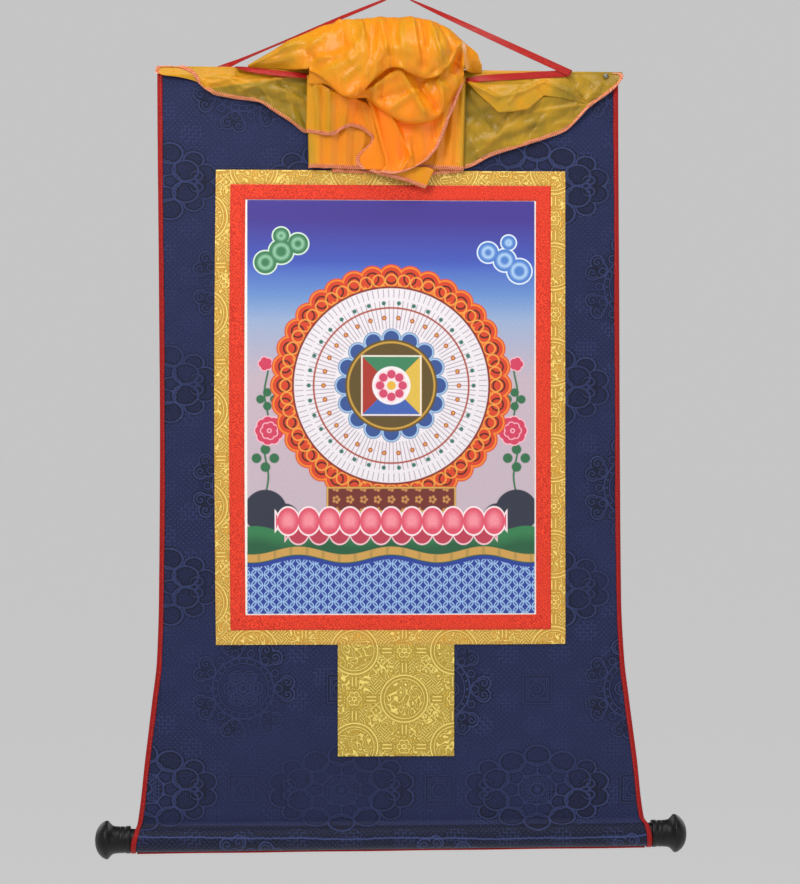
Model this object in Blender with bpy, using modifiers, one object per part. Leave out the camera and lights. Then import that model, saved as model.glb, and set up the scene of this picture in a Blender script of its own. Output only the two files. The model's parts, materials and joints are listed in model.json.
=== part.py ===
"""Thangka scroll painting, hanging from its ribbon.

A brocade mount with a flared foot carries a framed picture and a door panel. Its foot is
turned round a dowel with two black finials. A silk veil is gathered up over a tie ribbon.
X runs to the right as seen from the front, Y to the back and Z up. The origin is the place
under the ribbon where a nail holds it. Sizes in the tables are millimetres.
"""

import math

import bmesh
import bpy
import numpy as np

MM = 0.001
GAP = 0.3  # between pieces that touch

# ---- mount ---------------------------------------------------------------------------
PANEL = 1.6  # thickness of the brocade with its backing
CENTRE_X = -8.0  # the mount hangs a little to the left of the nail
TOP_Z = -76.6  # top edge, on the mount's centreline
TOP_FALL = 3.0  # how much lower the top right corner is than the left one
STITCH_Z = -845.9  # the seam above the roller
ROLLER_Z = -858.6  # middle of the roller
ROLLER_RISE = 2.2  # how much higher the roller's right end is
SPAN = 480.0  # width over which those two tilts are measured
HEM = 14.0  # cloth turned to the back at the top edge, and sewn up behind the roller
TURN = 3.1  # distance between the middles of the two layers of a hem
LOOP_R = 12.2  # radius of the cloth's middle round the roller
# Half widths to the outside of the red binding: straight above, trumpet shaped below.
OUTLINE = (
    # height, left, right
    (-70.0, 236.8, 233.2),
    (-300.0, 235.2, 234.3),
    (-460.0, 234.2, 235.0),
    (-617.0, 235.2, 236.3),
    (-678.0, 237.2, 239.4),
    (-719.0, 242.0, 244.4),
    (-780.0, 249.3, 252.4),
    (-842.0, 256.6, 259.6),
    (-850.0, 259.2, 264.2),
    (-862.0, 262.6, 266.4),
    (-874.0, 263.6, 267.2),
)
BIND_FACE = 4.8  # width of the red binding on the front
BIND_WALL = 0.8
# Slow waves of the hanging cloth, the same for all that is sewn to it.
WAVES = (
    # depth, wavelength across, wavelength down, phase
    (1.3, 620.0, 1150.0, 0.6),
    (0.9, 330.0, 900.0, 2.1),
)
FLUTTER = 2.4  # extra depth of the waves towards the flared foot

# ---- what is sewn on the mount --------------------------------------------------------
FRAME = (-185.5, 170.8, -179.8, -662.6)  # left, right, top and bottom of the gold border
BORDER = 15.0  # width of the gold border, and of the red one inside it
FRAME_BOW = 1.7  # the frame's left side bows outwards by this much
GOLD_T, RED_T, PICTURE_T, DOOR_T = 1.2, 1.6, 1.1, 1.2
DOOR = (-61.5, 56.7, -776.4)  # left, right and bottom of the door panel

# ---- roller -----------------------------------------------------------------------------
DOWEL_R = 10.0
SOCKET = 14.0  # how deep the dowel sits in each finial
# Turned profile of a finial, from its tip to the mouth of its socket.
FINIAL = (
    # along, radius
    (35.8, 0.0),
    (35.5, 4.5),
    (34.4, 9.0),
    (32.0, 13.6),
    (28.9, 17.0),
    (25.6, 19.0),
    (23.6, 19.5),
    (22.3, 18.9),
    (20.6, 16.9),
    (18.8, 15.1),
    (16.8, 14.0),
    (13.5, 13.6),
    (7.0, 13.5),
    (6.0, 13.1),
    (5.0, 13.6),
    (1.0, 13.9),
    (0.0, 13.6),
)

# ---- ribbons ------------------------------------------------------------------------------
RIBBON_W, RIBBON_T = 7.0, 0.8
# Route of each ribbon's middle, and the turn of its width from the Y axis to the upright.
CORD_ROUTE = (
    # x, y, z, turn
    (176.0, -6.4, -80.2, 90),
    (150.0, -5.8, -68.4, 84),
    (100.0, -4.0, -45.6, 68),
    (50.0, -2.0, -22.6, 50),
    (16.0, -0.6, -6.9, 24),
    (7.0, -0.2, -2.6, 6),
    (2.5, 0.0, -0.3, 0),
    (-2.5, 0.0, -0.3, 0),
    (-7.0, 0.0, -2.2, 6),
    (-16.0, 0.1, -6.3, 26),
    (-60.0, 0.8, -24.6, 36),
    (-120.0, 2.6, -49.9, 24),
    (-160.0, 5.2, -66.7, 34),
    (-176.0, 6.8, -73.6, 66),
    (-186.0, 6.2, -78.0, 84),
    (-200.0, 5.2, -84.4, 90),
)
TIE_ROUTE = (
    (-166.0, -6.0, -76.0, 16),
    (-157.0, -6.2, -77.6, 38),
    (-146.0, -6.4, -79.4, 56),
    (-125.0, -7.4, -82.0, 60),
    (-92.0, -9.4, -85.2, 58),
    (-50.0, -9.8, -89.0, 80),
    (10.0, -9.8, -91.4, 80),
    (66.0, -9.4, -88.8, 50),
    (84.0, -8.6, -86.4, 66),
    (100.0, -7.9, -85.0, 76),
    (140.0, -6.1, -82.2, 84),
    (172.0, -5.0, -80.0, 90),
)

# ---- veil -----------------------------------------------------------------------------------
SILK = 1.0  # thickness of the veil's solid
# Lower edge of the veil where it hangs in swags on both sides.
SWAG = (
    # x, height of the lower edge
    (-245.6, -81.0),
    (-240.0, -84.2),
    (-206.0, -91.0),
    (-188.0, -103.3),
    (-166.0, -107.5),
    (-142.0, -111.2),
    (-125.8, -121.0),
    (-109.4, -131.3),
    (-92.9, -142.2),
    (-70.0, -132.0),
    (-20.0, -122.0),
    (30.0, -136.0),
    (52.0, -166.0),
    (66.0, -177.0),
    (95.6, -164.1),
    (126.5, -154.1),
    (151.4, -145.9),
    (170.8, -138.2),
    (181.1, -128.9),
    (194.4, -114.6),
    (216.9, -98.1),
    (225.8, -89.3),
    (229.4, -84.0),
)
SWAG_HANG = 2.0  # how far the swags stand off the mount's face
SWAG_CORNER = (196.0, 24.0, 1.6)  # past this far from the middle they hang a little freer
# Columns of the swags' cloth, with few behind the puff, where no fold shows.
SWAG_RUNS = (
    # from x, to x, columns
    (-245.4, -92.0, 20),
    (-76.0, 52.0, 8),
    (64.0, 229.2, 22),
)
PUFF_RUNS = (
    # from x, to x, columns, whether the cloth falls on in front of the ribbon
    (-152.0, -93.0, 11, False),
    (-90.6, 65.2, 28, True),
    (68.0, 85.0, 5, False),
)
# Folds of the swags: soft ridges from one point to another.
FOLDS = (
    # x, z, to x, to z, half width, height towards the front
    (-232.0, -80.0, -172.0, -86.0, 4.0, 2.4),
    (-172.0, -92.5, -100.0, -103.0, 6.0, 3.6),
    (-150.0, -106.0, -98.0, -134.0, 5.0, 2.2),
    (72.0, -99.0, 104.0, -113.0, 7.5, 6.5),
    (104.0, -113.0, 134.0, -110.0, 7.5, 6.0),
    (134.0, -110.0, 186.0, -97.0, 6.5, 4.2),
    (82.0, -152.0, 188.0, -114.0, 6.0, 3.2),
    (70.0, -130.0, 92.0, -150.0, 5.0, 2.6),
    (192.0, -109.0, 208.0, -90.0, 4.0, 2.4),
)
# The gathered puff: its ridge, its belly and the brow above the ribbon, left to right.
PUFF = (
    # x, ridge y, ridge z, belly y, belly z, brow z
    (-153.0, -1.9, -72.9, -3.6, -74.2, -76.4),
    (-146.0, -3.2, -69.6, -6.0, -72.0, -76.3),
    (-130.0, -6.6, -60.6, -10.6, -67.6, -76.9),
    (-112.0, -9.4, -49.8, -15.4, -63.0, -78.4),
    (-96.0, -11.4, -42.6, -20.0, -61.0, -79.8),
    (-93.0, -11.8, -41.4, -21.0, -61.0, -80.0),
    (-89.0, -12.4, -39.8, -24.0, -61.0, -78.0),
    (-70.0, -16.0, -32.8, -34.0, -62.0, -80.0),
    (-50.0, -18.0, -29.2, -42.0, -63.0, -86.0),
    (-30.0, -20.0, -27.2, -47.0, -62.0, -88.0),
    (-10.0, -21.0, -26.4, -50.0, -60.0, -80.0),
    (10.0, -21.0, -26.6, -50.0, -60.0, -79.0),
    (30.0, -19.0, -28.8, -46.0, -61.0, -81.0),
    (45.0, -17.0, -33.6, -40.0, -62.0, -79.0),
    (57.0, -14.0, -42.0, -31.0, -63.0, -77.0),
    (65.0, -12.2, -48.6, -24.0, -64.0, -77.0),
    (68.0, -11.4, -51.0, -19.0, -65.0, -80.6),
    (76.0, -8.6, -57.0, -13.6, -68.0, -80.6),
    (81.0, -6.2, -62.0, -10.0, -70.0, -80.4),
    (85.0, -3.4, -70.4, -5.6, -73.6, -80.2),
)
# Its fall in front of the ribbon: the brow over it, the lip, the tuck behind the lip, a
# second roll and the tail.
FALL = (
    # x, brow y, lip y, lip z, tuck y, tuck z, roll y, roll z, tail hem z
    (-91.0, -21.5, -22.6, -82.0, -22.0, -85.0, -20.8, -89.0, -177.4),
    (-80.0, -29.0, -30.0, -86.0, -25.0, -88.0, -25.4, -94.0, -177.6),
    (-70.0, -36.0, -36.0, -91.0, -29.0, -91.0, -28.6, -101.0, -179.0),
    (-55.0, -43.0, -42.5, -102.0, -33.5, -99.0, -33.4, -112.0, -181.6),
    (-36.0, -47.5, -45.0, -109.0, -36.0, -105.0, -36.0, -114.5, -183.4),
    (-24.0, -49.0, -46.5, -102.0, -36.5, -98.5, -39.5, -122.0, -184.6),
    (-8.0, -50.5, -47.5, -91.0, -38.0, -89.5, -43.0, -130.0, -189.4),
    (10.0, -50.5, -47.5, -90.6, -38.0, -88.5, -44.0, -131.0, -193.6),
    (26.0, -47.5, -45.0, -95.4, -35.0, -92.5, -41.0, -127.0, -197.6),
    (33.0, -45.4, -43.0, -95.8, -33.0, -92.5, -39.0, -126.0, -184.6),
    (45.0, -40.0, -37.5, -90.0, -29.5, -88.5, -32.0, -118.0, -182.6),
    (57.0, -30.0, -29.5, -84.0, -25.0, -86.0, -25.4, -98.0, -180.8),
    (65.5, -23.0, -22.6, -82.4, -21.6, -85.4, -20.8, -90.0, -179.4),
)
# Creases of the puff's front, drawn as the swags' folds are; a negative height is a trough.
CREASES = (
    # x, z, to x, to z, half width, height towards the front
    (-120.0, -58.0, -76.0, -50.0, 4.5, 2.6),
    (-104.0, -70.0, -74.0, -62.0, 4.5, -2.0),
    (-36.0, -44.0, -37.0, -60.0, 6.5, 4.0),
    (-37.0, -60.0, -50.0, -76.0, 6.5, 4.0),
    (-50.0, -76.0, -78.0, -84.0, 6.0, 2.6),
    (-70.0, -66.0, -46.0, -56.0, 7.5, -3.6),
    (-16.0, -40.0, -15.0, -84.0, 5.5, -3.4),
    (3.0, -34.0, 4.0, -80.0, 6.0, 3.2),
    (19.0, -40.0, 22.0, -82.0, 5.0, -3.0),
    (38.0, -38.0, 48.0, -76.0, 5.5, 3.4),
    (62.0, -62.0, 54.0, -84.0, 5.0, -5.0),
)
WAIST_Y, TAIL_Y = -15.4, -12.4  # where the tail leaves the roll, and where it hangs
PLEAT, PLEAT_PITCH = 1.5, 19.0  # depth and pitch of the tail's pleats
BACK_CLEAR = 1.7  # from the mount's top edge to the back of the puff
# The serged edge of the tail's front layer, which lies on the layers behind it.
FLAP = (
    # height, x
    (-91.0, 66.0),
    (-118.0, 55.5),
    (-144.0, 46.2),
    (-160.0, 39.0),
    (-172.0, 28.0),
    (-180.0, 11.0),
    (-200.0, -40.0),
)
FLAP_STEP, FLAP_LEFT = 3.4, -62.0  # how far it stands forward, and where it starts

# ---- tack -------------------------------------------------------------------------------------
TACK = (212.3, -82.0)  # x and z of its middle
TACK_R, TACK_T = 2.6, 1.5
TACK_PULL = 8.0  # how far round it the veil is pressed flat
TACK_LIFT = 0.6  # the veil slopes a little under the head

COLOURS = {
    # sRGB hex, roughness, metallic
    "brocade": ("262B52", 0.62, 0.0),
    "binding": ("B3211A", 0.6, 0.0),
    "gold": ("DDAE4C", 0.45, 0.1),
    "red": ("DA3627", 0.6, 0.0),
    "print": ("3D4A8A", 0.4, 0.0),
    "silk": ("F0A128", 0.4, 0.0),
    "ribbon": ("A61D17", 0.4, 0.0),
    "wood": ("151311", 0.35, 0.0),
    "raw wood": ("B58E5C", 0.7, 0.0),
    "steel": ("8F8A80", 0.35, 1.0),
}


# ---- helpers -------------------------------------------------------------------------------------
def column(table, index):
    return np.array([row[index] for row in table], float)


def along(at, table, index=1, key=0):
    """One column of a table read at any key, on a smooth curve that doesn't overshoot."""
    xs, ys = column(table, key), column(table, index)
    if xs[0] > xs[-1]:
        xs, ys = xs[::-1], ys[::-1]
    step = np.diff(xs)
    rise = np.diff(ys) / step
    slope = np.zeros(len(xs))
    same = rise[:-1] * rise[1:] > 0
    slope[1:-1][same] = 2 * (rise[:-1] * rise[1:])[same] / (rise[:-1] + rise[1:])[same]
    at = np.clip(np.asarray(at, float), xs[0], xs[-1])
    i = np.clip(np.searchsorted(xs, at) - 1, 0, len(step) - 1)
    u = (at - xs[i]) / step[i]
    return (
        (1 + 2 * u) * (1 - u) ** 2 * ys[i]
        + u * (1 - u) ** 2 * step[i] * slope[i]
        + u * u * (3 - 2 * u) * ys[i + 1]
        - u * u * (1 - u) * step[i] * slope[i + 1]
    )


def eased(u):
    u = np.clip(u, 0.0, 1.0)
    return u * u * (3 - 2 * u)


def through(points, cuts):
    """A smooth line through points, with that many steps between each two of them."""
    p = np.array(points, float)
    p = np.vstack([2 * p[0] - p[1], p, 2 * p[-1] - p[-2]])
    out = []
    for i in range(1, len(p) - 2):
        for u in np.arange(cuts) / cuts:
            out.append(
                0.5
                * (
                    2 * p[i]
                    + (p[i + 1] - p[i - 1]) * u
                    + (2 * p[i - 1] - 5 * p[i] + 4 * p[i + 1] - p[i + 2]) * u**2
                    + (3 * p[i] - p[i - 1] - 3 * p[i + 1] + p[i + 2]) * u**3
                )
            )
    return np.array(out + [p[-2]])


def linear(value):
    value /= 255
    return value / 12.92 if value <= 0.04045 else ((value + 0.055) / 1.055) ** 2.4


def material(name):
    found = bpy.data.materials.get(name)
    if found:
        return found
    colour, roughness, metallic = COLOURS[name]
    made = bpy.data.materials.new(name)
    made.use_nodes = True
    shader = made.node_tree.nodes["Principled BSDF"]
    rgb = [linear(int(colour[i : i + 2], 16)) for i in (0, 2, 4)]
    shader.inputs["Base Color"].default_value = (*rgb, 1.0)
    shader.inputs["Roughness"].default_value = roughness
    shader.inputs["Metallic"].default_value = metallic
    made.diffuse_color = (*rgb, 1.0)
    return made


def add(name, mesh, look, parent=None):
    piece = bpy.data.objects.new(name, mesh)
    bpy.data.collections["thangka scroll painting"].objects.link(piece)
    mesh.materials.append(material(look))
    piece.parent = parent
    return piece


def surface(name, grid, look, keep=None):
    """An open sheet over a grid of points in millimetres, rows by columns."""
    rows, columns = grid.shape[:2]
    form = bmesh.new()
    corner = [form.verts.new(p * MM) for p in grid.reshape(-1, 3)]
    for r in range(rows - 1):
        for c in range(columns - 1):
            if keep is None or keep[r, c]:
                a = r * columns + c
                form.faces.new(
                    [corner[a], corner[a + columns], corner[a + columns + 1], corner[a + 1]]
                )
    bmesh.ops.delete(form, geom=[v for v in form.verts if not v.link_faces], context="VERTS")
    mesh = bpy.data.meshes.new(name)
    form.to_mesh(mesh)
    form.free()
    mesh.shade_smooth()
    return add(name, mesh, look)


def solidify(piece, thickness, offset=0.0, even=True):
    """Gives a sheet its thickness: offset 1 lays it all on the front, 0 on both sides."""
    shell = piece.modifiers.new("thickness", "SOLIDIFY")
    shell.thickness = thickness * MM
    shell.offset = offset
    shell.use_even_offset = even
    return piece


def turned(name, profile, look, steps):
    """A turned piece about its own Z axis, from a profile of (along, radius) in millimetres."""
    form = bmesh.new()
    line = [form.verts.new((radius * MM, 0, z * MM)) for z, radius in profile]
    for a, b in zip(line, line[1:]):
        form.edges.new((a, b))
    mesh = bpy.data.meshes.new(name)
    form.to_mesh(mesh)
    form.free()
    piece = add(name, mesh, look)
    spin = piece.modifiers.new("turning", "SCREW")
    spin.steps = spin.render_steps = steps
    spin.use_merge_vertices = True
    spin.merge_threshold = 0.00002
    spin.use_smooth_shade = True
    return piece


# ---- the mount's surface -----------------------------------------------------------------
def share(x):
    return (np.asarray(x, float) - CENTRE_X) / SPAN


def top_edge(x):
    return TOP_Z - TOP_FALL * share(x)


def roller_line(x):
    return ROLLER_RISE * share(x)


def wave(x, z):
    """How far the mount's middle lies behind the plane of its top edge."""
    x, z = np.asarray(x, float), np.asarray(z, float)
    held = eased((TOP_Z - 40 - z) / 160) * eased((z - STITCH_Z - 6) / 90)
    deep = 0.0
    for depth, across, down, phase in WAVES:
        deep = deep + depth * np.sin(2 * np.pi * (x / across + z / down) + phase)
    foot = eased((-640 - z) / 120)
    fold = np.sin(2 * np.pi * x / 245 + 1.2) * np.clip(np.abs(x - CENTRE_X) / 230, 0.25, 1)
    return held * (deep + FLUTTER * foot * fold)


def side(z, inset, index):
    """x of the mount's left (1) or right (2) edge at a height, less an inset."""
    half = along(z, OUTLINE, index) - inset
    return CENTRE_X + (half if index == 2 else -half)


def panel_rows():
    """The cloth's route from its top hem to the seam behind the roller.

    Each row is (y, height, where it hangs from): 0 at the top edge, 1 at the roller.
    """
    half = TURN / 2
    rows = [(TURN, -HEM, 0), (TURN, -HEM / 2, 0)]
    for angle in np.linspace(0, np.pi, 5):
        rows.append((half + half * math.cos(angle), -half + half * math.sin(angle) * 0.9, 0))
    drop = TOP_Z - STITCH_Z
    for depth in (6, 13, *np.linspace(30, drop - 14, 26), drop - 5):
        rows.append((0.0, -depth, depth / drop))
    reach = STITCH_Z - ROLLER_Z
    first = math.acos(min(1.0, LOOP_R / (reach + 1.5)))
    for angle in np.linspace(first, 2 * np.pi - first, 14):
        rows.append((-LOOP_R * math.sin(angle), LOOP_R * math.cos(angle), 1))
    rows += [(TURN + 0.6, reach + 1.5, 1), (TURN, reach + 5, 1), (TURN, reach + HEM - 2, 1)]
    return rows


def panel_grid(xs_of, rows):
    """Points of the mount's middle: xs_of gives a row's x values from its height."""
    grid = []
    for y, z, hung in rows:
        height = (ROLLER_Z if hung == 1 and z > -80 else TOP_Z) + z
        if 0 < hung < 1:
            height = TOP_Z + z
        xs = xs_of(height)
        if hung == 1:
            zs = height + roller_line(xs)
        else:
            zs = height + (1 - hung) * (top_edge(xs) - TOP_Z) + hung * roller_line(xs)
        ys = y + (wave(xs, height) if 0 < hung < 1 else 0 * xs)
        grid.append(np.stack([xs, ys, zs], 1))
    return np.array(grid)


def make_mount_panel():
    inset = BIND_WALL + 1.4 * GAP
    spread = np.linspace(0, 1, 20)

    def xs_of(height):
        left, right = side(height, inset, 1), side(height, inset, 2)
        return left + (right - left) * spread

    return solidify(surface("mount_panel", panel_grid(xs_of, panel_rows()), "brocade"), PANEL)


def across_bends(line):
    """Per point of a line in the YZ plane, the way to its front side, longer at a bend."""
    run = np.diff(line, axis=0)
    run /= np.linalg.norm(run, axis=1)[:, None]
    face = np.stack([run[:, 1], -run[:, 0]], 1)
    face = np.vstack([face[:1], face, face[-1:]])
    both = face[:-1] + face[1:]
    return both / (1 + (face[:-1] * face[1:]).sum(1))[:, None]


def make_side_binding(name, index):
    """A folded tape round the cloth's edge: front leg, outer wall and back leg."""
    rows = [row for row in panel_rows() if row[2] > 0][:-6]
    out = 1 if index == 2 else -1
    edge = panel_grid(lambda height: np.array([side(height, BIND_WALL / 2, index)]), rows)[:, 0]
    across = np.array([out * (BIND_FACE - BIND_WALL / 2), 0.0, 0.0])
    leg = PANEL / 2 + GAP + BIND_WALL / 2
    front = np.zeros_like(edge)
    front[:, 1:] = across_bends(edge[:, 1:]) * leg
    strips = [edge - across + front, edge + front, edge - front, edge - across - front]
    grid = np.stack(strips if out > 0 else strips[::-1], 1)
    return solidify(surface(name, grid, "binding"), BIND_WALL)


def make_hem_binding():
    """The narrow red tape that shows along the foot, just under the roller's sleeve."""
    z = ROLLER_Z - LOOP_R - PANEL / 2 - GAP
    xs = np.linspace(side(z, BIND_FACE + 1.5, 1), side(z, BIND_FACE + 1.5, 2), 12)
    zs = z + roller_line(xs)
    rows = [np.stack([xs, np.full_like(xs, 0.2), zs - d], 1) for d in (0.0, 1.3)]
    return solidify(surface("hem_binding", np.array(rows), "binding"), 1.4)


# ---- frame, picture and door ------------------------------------------------------------
def bowed(x, z):
    """The frame isn't cut quite true: its left side bows out."""
    left, right, top, bottom = FRAME
    down = np.clip((top - z) / (top - bottom), 0, 1)
    aside = np.clip((CENTRE_X - x) / (CENTRE_X - left), 0, 1)
    return x - FRAME_BOW * aside * np.sin(np.pi * down)


def laid(name, corners, cells, thickness, look):
    """A flat piece sewn on the mount: corners are top left, top right, bottom right, left."""
    (ax, az), (bx, bz), (cx, cz), (dx, dz) = corners
    across, down = cells
    u, v = np.meshgrid(np.linspace(0, 1, across + 1), np.linspace(0, 1, down + 1))
    x = (1 - v) * ((1 - u) * ax + u * bx) + v * ((1 - u) * dx + u * cx)
    z = (1 - v) * ((1 - u) * az + u * bz) + v * ((1 - u) * dz + u * cz)
    x = bowed(x, z)
    y = wave(x, z) - PANEL / 2 - GAP
    return solidify(surface(name, np.stack([x, y, z], 2), look), thickness, 1.0, False)


def inside_frame(inset, narrower=0.0):
    """Corners of the frame, less an inset: top left and right, bottom right and left."""
    left, right, top, bottom = FRAME
    left, right = left + inset + narrower, right - inset - narrower
    top, bottom = top - inset, bottom + inset
    return (left, top), (right, top), (right, bottom), (left, bottom)


def make_border(colour, inset, thickness):
    """Four mitred strips, with a hair's breadth between them and what lies inside."""
    near, far = inset + GAP / 2, inset + BORDER - GAP / 2
    mitre = GAP * 0.8
    outer, inner = inside_frame(near), inside_frame(far)
    outer_short, inner_short = inside_frame(near, mitre), inside_frame(far, mitre)
    strips = {
        "top": (outer_short[0], outer_short[1], inner_short[1], inner_short[0]),
        "bottom": (inner_short[3], inner_short[2], outer_short[2], outer_short[3]),
        "left": (outer[0], inner[0], inner[3], outer[3]),
        "right": (inner[1], outer[1], outer[2], inner[2]),
    }
    for where, corners in strips.items():
        cells = (16, 1) if where in ("top", "bottom") else (1, 20)
        laid(f"{colour}_border_{where}", corners, cells, thickness, colour)


def make_picture():
    corners = inside_frame(2 * BORDER + GAP / 2)
    laid("picture_panel", corners, (13, 18), PICTURE_T, "print")


def make_door():
    left, right, bottom = DOOR
    top = FRAME[3] - GAP
    corners = ((left, top), (right, top), (right, bottom), (left, bottom))
    laid("door_panel", corners, (6, 6), DOOR_T, "gold")


# ---- roller ----------------------------------------------------------------------------------
def make_roller():
    z, foot = ROLLER_Z, OUTLINE[-1][0]
    left, right = side(foot, -GAP, 1), side(foot, -GAP, 2)
    tilt = math.atan2(ROLLER_RISE, SPAN)
    hub = bpy.data.objects.new("roller", None)
    bpy.data.collections["thangka scroll painting"].objects.link(hub)
    hub.location = (CENTRE_X * MM, 0, z * MM)
    hub.rotation_euler = (0, -tilt, 0)
    length = right - left + 2 * SOCKET - 2 * GAP
    bpy.ops.mesh.primitive_cylinder_add(vertices=32, radius=DOWEL_R * MM, depth=length * MM)
    dowel = bpy.context.object
    dowel.name = dowel.data.name = "dowel"
    for holder in list(dowel.users_collection):
        holder.objects.unlink(dowel)
    bpy.data.collections["thangka scroll painting"].objects.link(dowel)
    dowel.data.materials.append(material("raw wood"))
    dowel.parent = hub
    dowel.location = (((left + right) / 2 - CENTRE_X) * MM, 0, 0)
    dowel.rotation_euler = (0, math.pi / 2, 0)
    dowel.data.shade_smooth()
    dowel.data.set_sharp_from_angle(angle=math.radians(40))
    bore = DOWEL_R + GAP
    profile = list(FINIAL) + [(0.0, bore), (SOCKET, bore), (SOCKET, 0.0)]
    for name, x, way in (("finial_left", left, -1), ("finial_right", right, 1)):
        finial = turned(name, profile, "wood", 26)
        finial.parent = hub
        finial.location = ((x - CENTRE_X) * MM, 0, 0)
        finial.rotation_euler = (0, way * math.pi / 2, 0)


# ---- ribbons -----------------------------------------------------------------------------------
def make_ribbon(name, route):
    """A flat tape on a route, turned about it so that it faces the front or lies flat."""
    line = through(route, 3)
    middle, turn = line[:, :3], np.radians(line[:, 3])
    run = np.gradient(middle, axis=0)
    run /= np.linalg.norm(run, axis=1)[:, None]
    deep = np.array([0.0, 1.0, 0.0]) - run * run[:, 1:2]
    deep /= np.linalg.norm(deep, axis=1)[:, None]
    upright = np.cross(run, deep)
    upright *= np.sign(upright[:, 2:3] + 1e-9)
    width = deep * np.cos(turn)[:, None] + upright * np.sin(turn)[:, None]
    grid = np.stack([middle + width * RIBBON_W * s for s in (-0.5, 0.0, 0.5)], 1)
    return solidify(surface(name, grid, "ribbon"), RIBBON_T)


# ---- veil -----------------------------------------------------------------------------------------
def folds(x, z, table):
    """How far the folds of a table push the cloth forward at a place."""
    pushed = 0.0 * x
    for x0, z0, x1, z1, half, height in table:
        run = np.array([x1 - x0, z1 - z0])
        long = np.hypot(*run)
        u = ((x - x0) * run[0] + (z - z0) * run[1]) / long**2
        off = ((x - x0) * run[1] - (z - z0) * run[0]) / long
        end = eased(u / 0.25 + 0.6) * eased((1 - u) / 0.25 + 0.6)
        pushed = pushed + height * end * np.exp(-((off / half) ** 2))
    return pushed


def swag_y(x, z):
    """How far in front the swags hang, with their folds."""
    depth = top_edge(x) - z
    far, over, freer = SWAG_CORNER
    corner = eased((np.abs(x - CENTRE_X) - far) / over)
    pinned = np.exp(-((x - TACK[0]) ** 2 + (z - TACK[1]) ** 2) / TACK_PULL**2)
    hang = (SWAG_HANG + freer * corner) * (1 - pinned)
    flat = -PANEL / 2 - GAP - SILK / 2 - hang * eased(depth / 9)
    return flat - folds(x, z, FOLDS) * eased((depth - 8) / 6)


def swag_grid():
    xs = np.concatenate([np.linspace(*run) for run in SWAG_RUNS])
    low = along(xs, SWAG)
    high = top_edge(xs) + 0.4
    rows = []
    for v in (0, 0.09, 0.2, 0.32, 0.44, 0.56, 0.68, 0.8, 0.9, 1.0):
        zs = high + (low - high) * v
        rows.append(np.stack([xs, swag_y(xs, zs), zs], 1))
    return np.array(rows)


def puff_section(x, falls):
    """The cloth's route at one x: up from the top edge, over the puff and down in front.

    Between the ends of the fall it goes on in front of the ribbon, as lip, roll and tail.
    """
    ridge_y, ridge_z, belly_y, belly_z, brow_z = (along(x, PUFF, i) for i in range(1, 6))
    start = (-0.4, top_edge(x) + BACK_CLEAR)
    rise = (0.35 * ridge_y, start[1] + 0.62 * (ridge_z - start[1]))
    points = [start, rise, (ridge_y, ridge_z), (belly_y, belly_z)]
    if not falls:
        return points + [(float(swag_y(x, brow_z)), brow_z)]
    brow_y, lip_y, lip_z, tuck_y, tuck_z, roll_y, roll_z, hem_z = (
        along(x, FALL, i) for i in range(1, 9)
    )
    points += [(brow_y, brow_z), (lip_y, lip_z), (tuck_y, tuck_z), (roll_y, roll_z)]
    waist_z = min(roll_z + 2.0, -95.0)
    points += [((roll_y + WAIST_Y) / 2 - 0.6, min(roll_z - 4.0, -93.0)), (WAIST_Y, waist_z)]
    return points + [(TAIL_Y, (waist_z + hem_z) / 2), (TAIL_Y, hem_z)]


def puff_grid():
    xs = np.concatenate([np.linspace(*run[:3]) for run in PUFF_RUNS])
    falls = np.concatenate([np.full(run[2], run[3]) for run in PUFF_RUNS])
    cuts = 3  # rows of the grid from one point of the section to the next
    belly, brow, waist, hem = 3, 4, 9, 11  # points of the section, counted from the top edge
    grid = np.zeros((hem * cuts + 1, len(xs), 3))
    for c, x in enumerate(xs):
        route = through(puff_section(x, falls[c]), cuts)
        grid[: len(route), c, 1:] = route
        grid[len(route) :, c, 1:] = route[-1]
        grid[:, c, 0] = x
    for r in range((belly - 1) * cuts + 1, (brow + 1) * cuts):
        x, z = grid[r, :, 0], grid[r, :, 2]
        whole = eased(r / cuts - (belly - 1)) * eased(brow + 1.2 - r / cuts)
        ends = np.where(falls, 1.0, eased((brow - r / cuts) / 1.2))
        grid[r, :, 1] -= whole * ends * folds(x, z, CREASES)
    for r in range(waist * cuts, len(grid)):
        x, z = grid[r, :, 0], grid[r, :, 2]
        hang = eased((r - waist * cuts) / cuts) * falls
        pleat = PLEAT * np.sin(2 * np.pi * (x + 6 * np.sin(x / 31)) / PLEAT_PITCH)
        front = eased((along(z, FLAP) - x) / 5 + 0.5) * eased((x - FLAP_LEFT) / 30)
        grid[r, :, 1] -= hang * (pleat + FLAP_STEP * front)
    keep = np.ones((len(grid) - 1, len(xs) - 1), bool)
    keep[brow * cuts :] = (falls[:-1] & falls[1:])[None]
    return grid, keep


def make_veil():
    """One cloth: the swags along the mount's top, joined to the gathered puff and tail."""
    veil = solidify(surface("veil", swag_grid(), "silk"), SILK, 0.0, False)
    grid, keep = puff_grid()
    puff = solidify(surface("puff", grid, "silk", keep), SILK - 0.1, 0.0, False)
    bpy.data.collections["thangka scroll painting"].objects.unlink(puff)
    bpy.data.collections["cutters"].objects.link(puff)
    puff.hide_render = True
    puff.display_type = "WIRE"
    join = veil.modifiers.new("one cloth", "BOOLEAN")
    join.operation = "UNION"
    join.solver = "EXACT"
    join.object = puff
    return veil


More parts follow.
